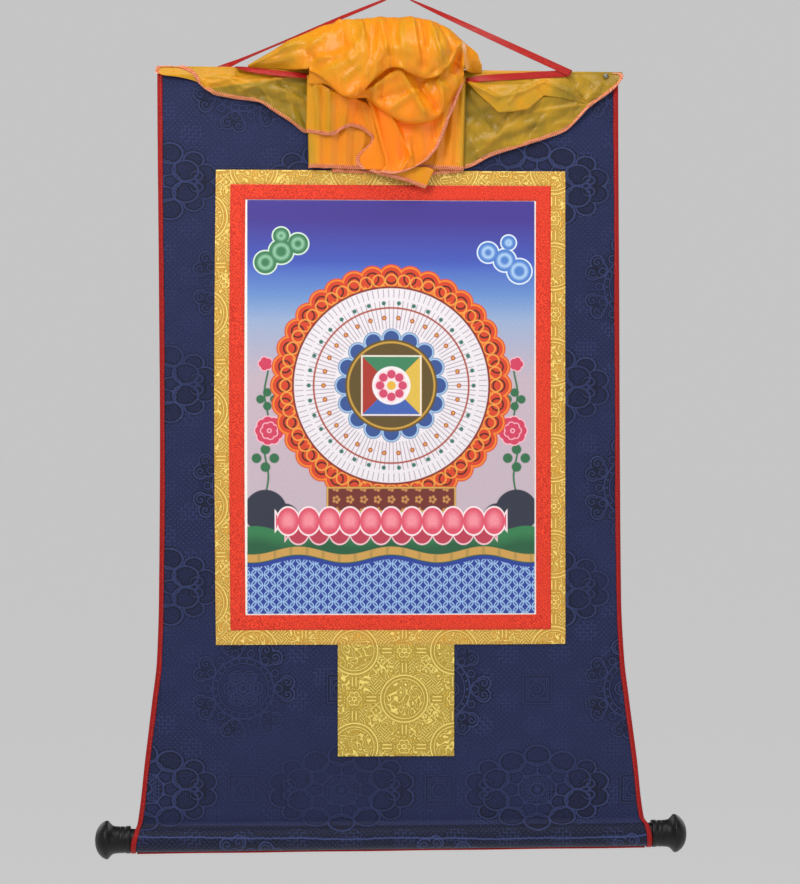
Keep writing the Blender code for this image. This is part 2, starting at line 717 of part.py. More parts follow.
def make_tack():
    """A small domed nail head that holds the veil to the top hem."""
    x, z = TACK
    y = float(swag_y(np.array(x), np.array(z))) - SILK / 2 - GAP - TACK_LIFT
    profile = [(TACK_T, 0.0), (TACK_T * 0.85, TACK_R * 0.5), (TACK_T * 0.4, TACK_R * 0.9)]
    profile += [(TACK_T * 0.1, TACK_R), (0.0, TACK_R * 0.9), (0.0, 0.0)]
    tack = turned("tack", profile, "steel", 20)
    tack.location = (x * MM, y * MM, z * MM)
    tack.rotation_euler = (math.pi / 2, 0, 0)


def main():
    for old in list(bpy.data.objects):
        bpy.data.objects.remove(old, do_unlink=True)
    for name in ("thangka scroll painting", "cutters"):
        bpy.context.scene.collection.children.link(bpy.data.collections.new(name))
    make_mount_panel()
    make_side_binding("side_binding_left", 1)
    make_side_binding("side_binding_right", 2)
    make_hem_binding()
    make_border("gold", 0.0, GOLD_T)
    make_border("red", BORDER, RED_T)
    make_picture()
    make_door()
    make_roller()
    make_ribbon("hanging_cord", CORD_ROUTE)
    make_ribbon("tie_ribbon", TIE_ROUTE)
    make_veil()
    make_tack()


main()
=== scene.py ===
"""Thangka scroll painting: the looks of a hung brocade scroll with its gathered silk veil.

Lengths in the tables are millimetres. X runs to the right as seen from the front, Y to the
back and Z up, and the origin is the place where a nail holds the ribbon.
"""

import ast
import json
import math
import operator

import bpy
import numpy as np
from mathutils import Vector
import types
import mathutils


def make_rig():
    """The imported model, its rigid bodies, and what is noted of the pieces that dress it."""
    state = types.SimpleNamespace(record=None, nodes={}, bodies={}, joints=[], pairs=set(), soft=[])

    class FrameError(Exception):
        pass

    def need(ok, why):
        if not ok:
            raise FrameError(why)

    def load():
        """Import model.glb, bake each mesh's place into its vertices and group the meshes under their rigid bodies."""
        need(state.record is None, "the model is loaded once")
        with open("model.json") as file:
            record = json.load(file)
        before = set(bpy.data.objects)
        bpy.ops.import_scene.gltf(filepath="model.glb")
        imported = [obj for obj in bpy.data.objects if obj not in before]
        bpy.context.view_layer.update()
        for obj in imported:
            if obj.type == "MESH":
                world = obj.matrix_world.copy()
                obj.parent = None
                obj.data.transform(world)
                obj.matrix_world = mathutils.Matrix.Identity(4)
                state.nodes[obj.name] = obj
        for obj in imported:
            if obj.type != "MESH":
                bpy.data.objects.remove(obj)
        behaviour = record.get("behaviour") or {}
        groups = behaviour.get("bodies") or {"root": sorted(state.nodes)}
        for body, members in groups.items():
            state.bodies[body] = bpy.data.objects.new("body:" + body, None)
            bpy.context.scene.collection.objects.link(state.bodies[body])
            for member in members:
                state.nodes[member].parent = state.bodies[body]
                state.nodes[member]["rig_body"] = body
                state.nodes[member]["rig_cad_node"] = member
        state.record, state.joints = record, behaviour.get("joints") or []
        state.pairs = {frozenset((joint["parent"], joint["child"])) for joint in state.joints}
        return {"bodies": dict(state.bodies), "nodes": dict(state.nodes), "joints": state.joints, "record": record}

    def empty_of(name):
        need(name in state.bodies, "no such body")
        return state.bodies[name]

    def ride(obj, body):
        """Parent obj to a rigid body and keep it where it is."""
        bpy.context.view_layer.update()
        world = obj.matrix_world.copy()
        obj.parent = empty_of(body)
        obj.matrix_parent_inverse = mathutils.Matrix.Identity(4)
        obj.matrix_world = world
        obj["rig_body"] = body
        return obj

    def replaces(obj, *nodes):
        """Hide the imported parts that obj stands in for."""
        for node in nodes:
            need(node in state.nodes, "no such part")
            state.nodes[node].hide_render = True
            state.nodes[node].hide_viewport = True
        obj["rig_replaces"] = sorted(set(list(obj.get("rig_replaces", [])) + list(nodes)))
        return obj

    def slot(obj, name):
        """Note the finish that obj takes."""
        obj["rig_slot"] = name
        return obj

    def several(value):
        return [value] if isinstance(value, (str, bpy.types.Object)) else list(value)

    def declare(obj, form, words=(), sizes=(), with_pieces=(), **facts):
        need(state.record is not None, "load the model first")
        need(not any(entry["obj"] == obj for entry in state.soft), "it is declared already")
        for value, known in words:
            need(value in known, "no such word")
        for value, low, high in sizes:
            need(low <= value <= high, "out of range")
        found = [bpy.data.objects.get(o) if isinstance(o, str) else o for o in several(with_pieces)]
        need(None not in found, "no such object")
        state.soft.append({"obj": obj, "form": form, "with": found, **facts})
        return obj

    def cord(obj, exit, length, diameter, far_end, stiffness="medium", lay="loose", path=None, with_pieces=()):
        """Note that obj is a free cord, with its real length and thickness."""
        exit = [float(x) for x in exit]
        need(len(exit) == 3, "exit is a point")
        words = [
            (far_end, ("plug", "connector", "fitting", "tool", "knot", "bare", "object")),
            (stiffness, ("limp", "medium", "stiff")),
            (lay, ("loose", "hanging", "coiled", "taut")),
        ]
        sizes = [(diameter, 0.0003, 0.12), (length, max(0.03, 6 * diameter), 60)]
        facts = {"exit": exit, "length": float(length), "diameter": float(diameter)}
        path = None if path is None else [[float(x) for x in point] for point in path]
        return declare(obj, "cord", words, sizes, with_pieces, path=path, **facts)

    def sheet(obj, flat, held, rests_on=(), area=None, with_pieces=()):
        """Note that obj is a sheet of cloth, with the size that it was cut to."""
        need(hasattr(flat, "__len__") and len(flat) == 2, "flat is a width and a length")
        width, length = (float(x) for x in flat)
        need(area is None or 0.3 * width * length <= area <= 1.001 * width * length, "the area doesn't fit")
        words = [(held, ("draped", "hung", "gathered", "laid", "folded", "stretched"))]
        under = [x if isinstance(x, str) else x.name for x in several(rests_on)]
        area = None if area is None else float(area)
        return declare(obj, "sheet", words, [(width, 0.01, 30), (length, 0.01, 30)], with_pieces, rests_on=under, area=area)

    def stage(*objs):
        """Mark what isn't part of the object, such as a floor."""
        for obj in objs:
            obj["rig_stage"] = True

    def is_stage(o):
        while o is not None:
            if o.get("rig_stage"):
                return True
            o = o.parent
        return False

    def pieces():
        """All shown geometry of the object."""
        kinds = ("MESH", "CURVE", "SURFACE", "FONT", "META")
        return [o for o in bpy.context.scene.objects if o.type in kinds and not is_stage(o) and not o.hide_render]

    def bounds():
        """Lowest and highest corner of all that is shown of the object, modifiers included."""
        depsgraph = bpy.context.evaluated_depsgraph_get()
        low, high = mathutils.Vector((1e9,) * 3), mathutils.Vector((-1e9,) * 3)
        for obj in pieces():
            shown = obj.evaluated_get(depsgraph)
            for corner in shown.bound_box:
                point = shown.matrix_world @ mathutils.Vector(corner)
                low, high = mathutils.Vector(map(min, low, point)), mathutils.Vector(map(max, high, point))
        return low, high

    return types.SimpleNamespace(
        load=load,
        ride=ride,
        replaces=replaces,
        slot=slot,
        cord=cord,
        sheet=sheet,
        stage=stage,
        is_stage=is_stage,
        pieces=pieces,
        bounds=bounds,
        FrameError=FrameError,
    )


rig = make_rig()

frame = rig.load()
CAD_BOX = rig.bounds()

bl_info = {
    "name": "Thangka scroll painting",
    "version": (1, 0, 0),
    "blender": (4, 5, 0),
    "location": "View3D > Sidebar > Scroll",
    "description": "Builds a brocade scroll with its frame, roller, ribbons and gathered veil",
    "category": "Add Mesh",
}

MM = 0.001
MOTTLE_WAVES = 7  # how many waves make up the unevenness of a cloth

# ---- photograph's view ----------------------------------------------------------------------
PHOTO_HEIGHT = 884
FOCAL = 2255.0  # in the photograph's pixels
DISTANCE, YAW = 2300.0, 2.5  # the camera stands a little to the left, and level
TARGET = (1.7, 0.0, -456.3)

# ---- mount ----------------------------------------------------------------------------------
PANEL = 1.6  # the brocade with its backing
CLOTH = 1.2  # the same, as it is drawn in its fine form
GAP = 0.3  # between two layers that lie on each other
CENTRE_X = -8.0
TOP_Z, TOP_FALL = -76.6, 3.0  # top edge, and how much lower its right end is
STITCH_Z = -845.9  # the seam above the roller
ROLLER_Z, ROLLER_RISE = -858.6, 2.2  # its middle, and how much higher its right end is
SPAN = 480.0  # width over which those two tilts are measured
MOUNT_CELLS, MOUNT_ROWS = 128, (190, 34)  # across; down the front and round the roller
HEM, TURN = 14.0, 3.1  # the turned hem's height, and the distance between its two layers
LOOP_R = 12.2  # the cloth's middle round the roller
# Half widths to the outside of the red binding: straight above, trumpet shaped below.
OUTLINE = (
    # height, left, right
    (-70, 236.8, 233.2), (-300, 235.2, 234.3), (-460, 234.2, 235), (-617, 235.2, 236.3),
    (-678, 237.2, 239.4), (-719, 242, 244.4), (-780, 249.3, 252.4), (-842, 256.6, 259.6),
    (-850, 259.2, 264.2), (-862, 262.6, 266.4), (-874, 263.6, 267.2),
)
BIND_FACE, BIND_WALL = 4.8, 0.8  # the binding's width on the front, and its thickness
BIND_ROWS, BIND_PITCH = (250, 40), 3.2  # rows as for the mount, and the pitch of its stitches
# Rows of the binding's section: share of its width inwards, share of its leg to the front.
BIND_SECTION = (
    (1.0, 0.86), (0.93, 1.0), (0.78, 1.02), (0.62, 0.94), (0.4, 1.04), (0.16, 1.02),
    (0.03, 0.84), (-0.06, 0.45), (-0.08, 0.0), (-0.06, -0.45), (0.03, -0.84), (0.16, -1.02),
    (0.4, -1.04), (0.7, -1.0), (1.0, -0.9),
)
# Rows of the tape under the sleeve: place from front to back, and how far down.
HEM_SECTION = (
    (-0.9, 0.1), (-1.0, 0.8), (-0.8, 1.5), (-0.1, 1.9), (0.6, 1.6), (0.9, 0.8), (0.8, 0.1),
)
# Slow waves of the hanging cloth, the same for all that is sewn to it.
WAVES = (
    # depth, wavelength across, wavelength down, phase
    (1.3, 620, 1150, 0.6), (0.9, 330, 900, 2.1),
)
FLUTTER = 2.4  # extra depth of the waves towards the flared foot

# ---- what is sewn on the mount --------------------------------------------------------------
FRAME = (-185.5, 170.8, -179.8, -662.6)  # left, right, top and bottom of the gold border
BORDER = 15.0  # width of the gold border, and of the red one inside it
FRAME_BOW = 1.7  # how far its left side bows out
GOLD_T, RED_T, PICTURE_T, DOOR_T = 1.2, 1.6, 1.1, 1.2  # thickness of each
DOOR = (-61.5, 56.7, -776.4)  # left, right and bottom of the door panel
EDGE_SOFT, EDGE_PUCKER = 0.45, 0.1  # how far their edges are rounded, and drawn in by the seam
SEAM, SEAM_IN = (3.0, 2.2), 1.6  # a seam's pitch and stitch length; how far from the edge it runs

# ---- roller ---------------------------------------------------------------------------------
DOWEL_R, SOCKET = 10.0, 14.0  # the dowel's radius, and how deep a finial's socket is
# Turned profile of a finial from the mouth of its socket: hub, cove, sharp rim and dome.
FINIAL = (
    # along, radius
    (0, 13.5), (0.9, 13.9), (4.4, 13.7), (5.2, 13.2), (6, 13), (6.8, 13.4), (9.6, 13.5), (10.4, 13.1),
    (11.2, 13.5), (14, 13.6), (16.8, 14), (18.8, 15.1), (20.6, 16.9), (22.3, 18.9), (23, 19.35),
    (23.6, 19.5), (24.3, 19.4), (25.6, 19), (27.2, 18.2), (28.9, 17), (30.6, 15.4), (32, 13.6),
    (33.3, 11.6), (34.4, 9), (35.1, 6.6), (35.6, 3.6), (35.8, 0.6),
)
FINIAL_SIDES, RIM_ANGLE = 72, 35  # edges sharper than that many degrees stay sharp
NECK, NECK_R = 5.4, 11.0  # the neck inside the mouth of the sleeve: its length and radius

# ---- ribbons --------------------------------------------------------------------------------
RIBBON_W, RIBBON_T = 7.0, 0.5  # width and thickness
RIBBON_CUTS = 9  # steps between two points of a route
# Across a ribbon: two thicker woven edges, and a shallow, uneven hollow between them.
RIBBON_SECTION = (-0.5, -0.46, -0.4, -0.2, 0.0, 0.2, 0.4, 0.46, 0.5)
# Route of each ribbon's middle, and the turn of its width from the Y axis to the upright.
CORD_ROUTE = (
    # x, y, z, turn
    (176, -6.4, -80.2, 90), (150, -5.8, -68.4, 84), (100, -4, -45.6, 68), (50, -2, -22.6, 50),
    (16, -0.6, -6.9, 24), (7, -0.2, -2.6, 6), (2.5, 0, -0.3, 0), (-2.5, 0, -0.3, 0), (-7, 0, -2.2, 6),
    (-16, 0.1, -6.3, 26), (-60, 0.8, -24.6, 36), (-120, 2.6, -49.9, 24), (-160, 5.2, -66.7, 34),
    (-176, 6.8, -73.6, 66), (-186, 6.2, -78, 84), (-200, 5.2, -84.4, 90),
)
TIE_ROUTE = (
    (-166, -6, -76, 16), (-157, -6.2, -77.6, 38), (-146, -6.4, -79.4, 56), (-125, -7.4, -82, 60),
    (-92, -9.4, -85.2, 58), (-50, -9.8, -89, 80), (10, -9.8, -91.4, 80), (66, -9.4, -88.8, 50),
    (84, -8.6, -86.4, 66), (100, -7.9, -85, 76), (140, -6.1, -82.2, 84), (172, -5, -80, 90),
)

# ---- veil -----------------------------------------------------------------------------------
SILK = 0.35  # thickness of the silk as it is drawn; the real one is under 0.2
SWAG = (
    # x, height of the lower edge
    (-245.6, -81), (-240, -84.2), (-223, -86.4), (-206, -90.4), (-188, -103.3), (-166, -107.5),
    (-142, -111.2), (-125.8, -121), (-109.4, -131.3), (-92.9, -142.2), (-70, -132), (-20, -122),
    (30, -136), (52, -166), (66, -177), (95.6, -164.1), (126.5, -154.1), (151.4, -145.9),
    (170.8, -138.2), (181.1, -128.9), (194.4, -114.6), (216.9, -98.1), (225.8, -89.3), (229.4, -84),
)
# Cells across and down each layer of the veil.
SWAG_CELLS, BAND_CELLS, HEM_CELLS, BUNCHED_CELLS = (300, 38), (120, 24), (60, 14), 44
# How much the sharp creases of the swags, the puff and the tail count.
SWAG_CRISP, PUFF_CRISP, TAIL_CRISP = 1.4, 2.1, 1.5
SWAG_HANG = 2.0  # how far in front of the mount they hang
SWAG_CORNER = (196.0, 24.0, 1.6)  # past this far from the middle they hang a little freer
# Folds of the swags, in millimetres towards the front; a negative one is a trough.
FOLDS = (
    # x, z, to x, to z, half width, height
    (-232, -80, -172, -86, 4, 2.4), (-172, -92.5, -100, -103, 6, 3), (-150, -106, -98, -134, 5, 2.2),
    (72, -99, 104, -113, 7.5, 4.5), (104, -113, 134, -110, 7.5, 4), (134, -110, 186, -97, 6.5, 3.2),
    (82, -152, 188, -114, 6, 3.2), (70, -130, 92, -150, 5, 2.6), (192, -109, 208, -90, 4, 2.4),
)
# Sharp creases of the thin silk on them.
SWAG_CREASES = (
    # x, z, to x, to z, half width, height
    (-196, -94, -150, -84, 2.2, 1.2), (-162, -101, -120, -86, 2, 1.6),
    (-150, -89.5, -96, -84, 1.8, 1.4), (-122, -92, -94, -108, 1.8, -1.2),
    (-116, -97, -104, -128, 1.8, 1.3), (-103, -112, -94, -138, 1.8, -1.2),
    (-140, -96, -126, -116, 1.6, 1), (188, -112, 160, -84, 1.8, 1.7), (189, -111, 178, -84, 1.6, -1.5),
    (190, -112, 140, -119, 2.2, 1.8), (189, -113, 112, -146, 2.4, -1.6),
    (128, -124, 78, -163, 2.2, 1.6), (112, -118, 96, -152, 2, -1.2), (70, -104, 98, -136, 2, -1.6),
    (152, -122, 130, -150, 1.8, 1), (205, -98, 196, -83, 1.6, 1), (74, -146, 84, -168, 1.8, 1.2),
)
# The gathered puff: its ridge, its belly and the brow above the ribbon, left to right.
PUFF = (
    # x, ridge y, ridge z, belly y, belly z, brow z
    (-153, -1.9, -72.9, -3.6, -74.2, -76.4), (-146, -3.2, -69.6, -6, -72, -76.3),
    (-130, -6.6, -60.6, -10.6, -67.6, -76.9), (-112, -9.4, -49.8, -15.4, -63, -78.4),
    (-96, -11.4, -42.6, -20, -61, -79.8), (-93, -11.8, -41.4, -21, -61, -80),
    (-89, -12.4, -39.8, -24, -61, -78), (-70, -16, -32.8, -34, -62, -80),
    (-50, -18, -29.2, -42, -63, -86), (-30, -20, -27.2, -47, -62, -88),
    (-10, -21, -26.4, -50, -56, -71), (10, -21, -26.6, -50, -57, -76), (30, -19, -28.8, -46, -59, -80),
    (45, -17, -33.6, -40, -57, -72), (57, -14, -42, -31, -56, -65), (65, -12.2, -48.6, -24, -62, -74),
    (68, -11.4, -51, -19, -65, -80.6), (76, -8.6, -57, -13.6, -68, -80.6),
    (81, -6.2, -62, -10, -70, -80.4), (85, -3.4, -70.4, -5.6, -73.6, -80.2),
)
# Its fall in front of the ribbon: the brow over it, the lip, the tuck behind the lip, a
# second roll and where the cloth goes in again under the roll.
FALL = (
    # x, brow y, lip y, lip z, tuck y, tuck z, roll y, roll z
    (-91, -21.5, -22.6, -82, -20, -82, -18.6, -83.6), (-80, -29, -30, -88, -24, -86, -20.6, -87),
    (-70, -36, -36, -97, -28, -93, -22.6, -93), (-57, -42.5, -41, -108.6, -31, -104, -25.4, -103),
    (-46, -46, -43, -110.4, -32.5, -106, -27, -105.5), (-35, -48, -44, -102.6, -33.5, -99, -30, -105),
    (-22, -49.2, -44.6, -89.6, -34.5, -87, -33.5, -115),
    (-8, -49.5, -45.5, -81, -35.5, -79.5, -36, -124.5), (10, -49, -45, -86.6, -35, -85, -36.5, -131.5),
    (26, -46, -43, -91.4, -33, -88.5, -34, -130.5), (36, -43.4, -40, -89.8, -31, -87, -32, -127),
    (47, -37, -35, -80, -28.5, -79.5, -28, -116), (57, -30, -28.5, -72, -25, -74, -24.4, -98),
    (65.5, -23, -22, -78.4, -21, -80.4, -20, -88.6),
)
WAIST_Y = -15.4  # where the puff is tied
PUFF_CELLS = (36, 126, 14)  # left of the tied part, in it and right of it
PUFF_STEP, PUFF_CUTS = 0.6, 8  # the gap beside that part; steps between the section's points
BUNCHED, BUNCHED_BACK = (0.5, 0.3), 8.0  # sizes of the turns in the puff, and how far back
BACK_CLEAR = 1.7  # how far the cloth stands over the mount's top edge
# Large soft forms of the puff's front, then the sharp creases between them.
PUFF_FOLDS = (
    # x, z, to x, to z, half width, height
    (-120, -58, -76, -50, 4.5, 2.6), (-104, -70, -74, -62, 4.5, -2), (-36, -44, -37, -60, 6.5, 3.4),
    (-37, -60, -50, -76, 6.5, 3.4), (-50, -76, -78, -84, 6, 2.2), (-72, -68, -48, -58, 9, -4.6),
    (-16, -40, -15, -84, 5.5, -2.6), (3, -34, 4, -80, 6, 2.6), (19, -40, 22, -82, 5, -2.4),
    (38, -38, 48, -76, 5.5, 3), (62, -62, 54, -84, 5, -5),
)
PUFF_CREASES = (
    # x, z, to x, to z, half width, height
    (-62, -30, -38, -33, 2, 1.4), (-38, -33, -36, -50, 2, 2.2), (-36, -50, -52, -66, 2.2, 2.2),
    (-52, -66, -84, -72, 2.2, 1.8), (-84, -72, -93, -62, 2, -1.4), (-93, -60, -76, -46, 2, 1.6),
    (-76, -46, -44, -38, 2.2, 1.6), (-150, -74, -100, -50, 1.8, 1), (-146, -75, -92, -66, 1.8, 1.2),
    (-128, -66, -88, -56, 1.8, -1), (-19, -30, -14, -66, 2, 1.6), (-12, -30, -8, -84, 1.8, -1.4),
    (0, -28, 1, -52, 1.8, 1.2), (13, -28, 20, -76, 1.8, 1.4), (24, -30, 27, -60, 2, -1.8),
    (31, -32, 42, -72, 2.2, 2.2), (42, -34, 52, -60, 2, -1.6), (62, -52, 48, -82, 2, 2.6),
    (63, -52, 65, -78, 2, 2.6), (-58, -94, -40, -80, 1.8, 1.4), (-34, -92, -30, -78, 1.8, 1.2),
    (-34, -104, -6, -84, 2, 1.4), (0, -82, 25.5, -127.7, 3.2, 3), (16, -90, 38.3, -123, 3, -2.6),
    (-31, -104, 0, -84, 3, 2.2), (-22, -112, 19, -99, 3, -2), (-9.6, -123, 19, -101, 2.6, 1.8),
    (38, -88, 46, -118, 2.8, 2), (34, -92, 50, -100, 1.8, 1.2),
)

# Layers of the veil's tail under the puff, back to front. Each runs between two edges: one
# list holds its serged or folded edge, the other the line where it comes out of the puff.
BAND = (
    # x, top y, foot y, foot z: the back layer, with folded sides
    (-91.5, -12, -6.2, -177.2), (-70, -12.4, -6.6, -177.8), (-40, -13, -7, -178.6),
    (0, -13, -7.4, -178), (30, -13, -7.2, -177.8), (50, -12.6, -6.8, -178.6), (66.5, -12, -6.2, -179.2),
)
BAND_TOP = -84.0
# Pleats of the back layer: narrow vertical folds.
BAND_PLEATS = (
    # x above, x below, half width, height
    (-87, -86, 1.6, 1), (-80, -81.5, 2.2, 1.8), (-73, -76, 1.8, -1.4), (-66, -70, 2.4, 2.2),
    (-58, -62, 2, -1.6), (-50, -55, 2.6, 2), (-41, -47, 2, -1.4), (-30, -38, 2.6, 1.8),
    (44, 38, 2, 1.6), (50, 45, 1.6, -1.4), (55, 52, 1.8, 2), (60, 58, 1.5, -1.5),
    (64.5, 63.5, 1.6, 1.4),
)
# The swag's serged edge goes on across the back layer, and turns down to the hem.
CROSS_EDGE = (
    # x, y, z
    (-94, -7.6, -141.8), (-84, -10.4, -143.4), (-74, -12, -145.2), (-66, -12.6, -145.4),
    (-58, -13.2, -139.4), (-49, -13.6, -136.2), (-40, -13.8, -138), (-33, -14, -142.6),
    (-27.4, -14, -147.6), (-27.6, -13.8, -152.2), (-33, -13.2, -157.6), (-39, -12.6, -162.6),
    (-43.4, -12, -168), (-42.6, -11.6, -173.6), (-37, -11.4, -179.6),
)
CROSS_ROOT = (
    (-93, -11, -86), (-86, -15, -91), (-78, -17, -95), (-68, -18, -101), (-58, -19, -106),
    (-46, -20, -109), (-34, -20, -113), (-24, -20, -122), (-16, -19, -132), (-10, -18, -142),
    (-6, -17, -152), (-4, -16, -160), (-4, -15, -168), (-6, -14, -175), (-8, -13.6, -181),
)
# The front flap: its left side is a fold, its right one the long serged edge.
FLAP_LEFT = (
    # x, y, z
    (-34, -20, -104), (-33, -21, -110), (-30, -21.6, -118), (-26, -21.4, -130), (-22, -20.6, -144),
    (-18, -19.4, -158), (-14.6, -18, -170), (-14, -16.6, -177), (-20, -15.6, -183),
)
FLAP_RIGHT = (
    (66, -18, -88.6), (63.6, -18.6, -96), (60.6, -19, -103.5), (55.5, -19.4, -117.5),
    (50.6, -19.4, -128.5), (46, -19, -142.5), (39, -18.2, -158.5), (28, -17.2, -171),
    (14, -16.4, -178.6),
)
FLAP_FOOT_SAG = 3.4  # the flap's foot hangs in a shallow curve
# Folds of the front flap and of the layer left of it.
FLAP_FOLDS = (
    # x, z, to x, to z, half width, height
    (-31, -108, -15.5, -176, 2.4, 3), (-24, -112, -6, -178, 3, -1.8), (-10, -124, 12, -166, 2.4, 2.6),
    (10, -148, 14, -178, 2.4, 1.8), (12, -166, 2, -180, 2.2, 1.6), (4, -132, 4, -170, 6, -2.4),
    (20, -132, 24, -168, 5, 1.6), (34, -128, 36, -150, 3, -1.6), (48, -100, 44, -140, 3, 1.6),
    (56, -92, 54, -112, 2.4, -1.4),
)
CROSS_FOLDS = (
    (-84, -92, -82, -142, 2, 1.6), (-77, -96, -77, -144, 1.6, -1.4), (-70, -100, -71, -144, 2, 2),
    (-62, -104, -64, -142, 1.8, -1.4), (-52, -108, -56, -138, 2.2, 2),
    (-44, -110, -44, -137, 1.8, -1.2), (-38, -112, -28, -146, 2, 1.8), (-30, -118, -22, -150, 1.8, 1.2),
)
# The pointed corner that hangs out under the flap, over the gold border.
TIP_EDGE = (
    (-30, -12, -181), (-18, -12.4, -185.4), (-4, -12.6, -188.4), (10, -12.4, -192.2),
    (20, -11.8, -196.4), (27, -10.8, -198.6),
)
TIP_ROOT = (
    (-24, -12.6, -176), (-10, -13.2, -176), (4, -13.6, -176.4), (18, -13.4, -177), (30, -12.8, -177.4),
    (36, -11, -180),
)
# A second, shorter hem layer at the right, and one at the left.
UNDER_HEMS = (
    # from x, to x, y, top z, foot z at the left, foot z at the right
    (-68, -18, -4.6, -168, -181.6, -183), (31, 66, -4.6, -168, -184.2, -180.6),
)
# The folded-over upper layer of the right swag: its root under the ribbon and its fold.
OVER_ROOT = (
    (67, -7, -87.5), (78, -7, -86.8), (92, -6.6, -86), (108, -6.2, -85.2), (126, -5.6, -84.6),
    (146, -5, -83.6), (160, -4.4, -82.8), (171, -4, -82.4),
)
OVER_FOLD = (
    (69, -9, -90), (82, -12, -103), (92, -12.6, -111.6), (101, -12.6, -120.6), (116, -11, -119.4),
    (132, -9.8, -116.6), (148, -8.6, -102.4), (164, -7.4, -104.6), (191, -4.4, -110),
)
OVER_CREASES = (
    (72, -92, 100, -106, 2.6, 2.6), (100, -106, 126, -100, 2.2, 1.6), (84, -92, 128, -92, 2, -1.2),
    (126, -100, 150, -88, 1.8, 1.4), (136, -88, 146, -104, 1.6, -1.2), (112, -112, 124, -96, 1.8, 1.2),
    (150, -90, 186, -104, 1.6, 1.2),
)
RULED = {
    # layer: its root and its edge, rows, columns, its folds, swell to the front, seed
    "cross": (CROSS_ROOT, CROSS_EDGE, 36, 84, CROSS_FOLDS, 0.8, 44),
    "flap": (FLAP_LEFT, FLAP_RIGHT, 72, 76, FLAP_FOLDS, 1.2, 42),
    "tip": (TIP_ROOT, TIP_EDGE, 20, 60, (), 0.6, 45),
    "over": (OVER_ROOT, OVER_FOLD, 26, 96, OVER_CREASES, 1.6, 43),
}
# How the fold turns under: out past its edge, and back.
OVER_TURN = ((0.5, 0.4), (0.6, 1.0), (0.2, 1.6), (-1.0, 1.9), (-3.0, 2.0))
# Over this slanting line the left swag lies double.
SWAG_FOLD = (
    # x, z
    (-245, -90), (-206, -92), (-195, -97.8), (-131, -89.6), (-93, -84.5),
)
# The left swag's serged edge starts at the mount's top edge and slants down to its lower edge.
SERGE_START = (
    # x, z
    (-223.5, -75.6), (-217, -78), (-211, -81.4), (-206.4, -86.4), (-202.8, -92.2), (-197, -97.6),
    (-190, -102),
)
# Stitches round the two top corners of the swags.
CORNERS = (
    # x, z along the left corner, then along the right one
    ((-224.0, -75.2), (-236.0, -74.8), (-245.0, -75.2), (-246.4, -78.0), (-246.0, -83.0)),
    ((229.2, -85.0), (230.0, -81.4), (228.4, -79.2), (222.0, -78.6)),
)
CORNERS_MEET = (CENTRE_X, 0.0, -110.0)  # the place that those stitches point to
CROSS_START, SERGE_AGAIN = -93.0, 66.0  # the swags' edges end and start again beside the puff
SERGE_PITCH, SERGE_WIDTH, THREAD_R = 2.3, 3.4, 0.42
# One leg of the stitch: along the edge in stitches, into the cloth in widths, and upwards.
SERGE_LEG = (
    (-0.1, 0.1, -0.5), (-0.05, -0.1, 0.1), (0.1, 0.1, 0.62), (0.4, 0.55, 0.66),
    (0.62, 0.92, 0.5), (0.72, 1.06, -0.1),
)

# ---- tack -----------------------------------------------------------------------------------
TACK = (212.3, -82.0)  # x, z
TACK_PULL = 8.0  # how far round it the silk is held flat


# ---- helpers -------------------------------------------------------------------------------
def column(table, index):
    return np.array([row[index] for row in table], float)


def along(at, table, index=1, key=0):
    """One column of a table read at any key, on a smooth curve that doesn't overshoot."""
    xs, ys = column(table, key), column(table, index)
    if xs[0] > xs[-1]:
        xs, ys = xs[::-1], ys[::-1]
    step = np.diff(xs)
    rise = np.diff(ys) / step
    slope = np.zeros(len(xs))
    same = rise[:-1] * rise[1:] > 0
    slope[1:-1][same] = 2 * (rise[:-1] * rise[1:])[same] / (rise[:-1] + rise[1:])[same]
    at = np.clip(np.asarray(at, float), xs[0], xs[-1])
    i = np.clip(np.searchsorted(xs, at) - 1, 0, len(step) - 1)
    u = (at - xs[i]) / step[i]
    return (
        (1 + 2 * u) * (1 - u) ** 2 * ys[i]
        + u * (1 - u) ** 2 * step[i] * slope[i]
        + u * u * (3 - 2 * u) * ys[i + 1]
        - u * u * (1 - u) * step[i] * slope[i + 1]
    )


def eased(u):
    u = np.clip(u, 0.0, 1.0)
    return u * u * (3 - 2 * u)


def bell(off, half):
    """1 in the middle, falling away softly past a half width."""
    return np.exp(-((off / half) ** 2))


def ridge(off, half):
    """As bell, but with the sharper top of a crease."""
    return np.exp(1.2 - 1.2 * np.sqrt(1 + (1.5 * off / half) ** 2))


def unit(ways):
    return ways / np.linalg.norm(ways, axis=-1, keepdims=True)


def through(points, cuts):
    """A smooth line through points, with that many steps between each two of them."""
    p = np.array(points, float)
    p = np.vstack([2 * p[0] - p[1], p, 2 * p[-1] - p[-2]])
    out = []
    for before, here, after, last in zip(p, p[1:], p[2:], p[3:]):
        for u in np.arange(cuts) / cuts:
            out.append(
                0.5
                * (
                    2 * here
                    + (after - before) * u
                    + (2 * before - 5 * here + 4 * after - last) * u**2
                    + (3 * here - before - 3 * after + last) * u**3
                )
            )
    return np.array(out + [p[-2]])


def run_of(line):
    """How far along a line each of its points lies."""
    steps = np.linalg.norm(np.diff(np.asarray(line, float), axis=0), axis=1)
    return np.concatenate([[0], np.cumsum(steps)])


def spaced(line, count):
    """That many points at even distances along a line of points."""
    line, run = np.asarray(line, float), run_of(line)
    at = np.linspace(0, run[-1], count)
    return np.stack([np.interp(at, run, line[:, i]) for i in range(line.shape[1])], 1)


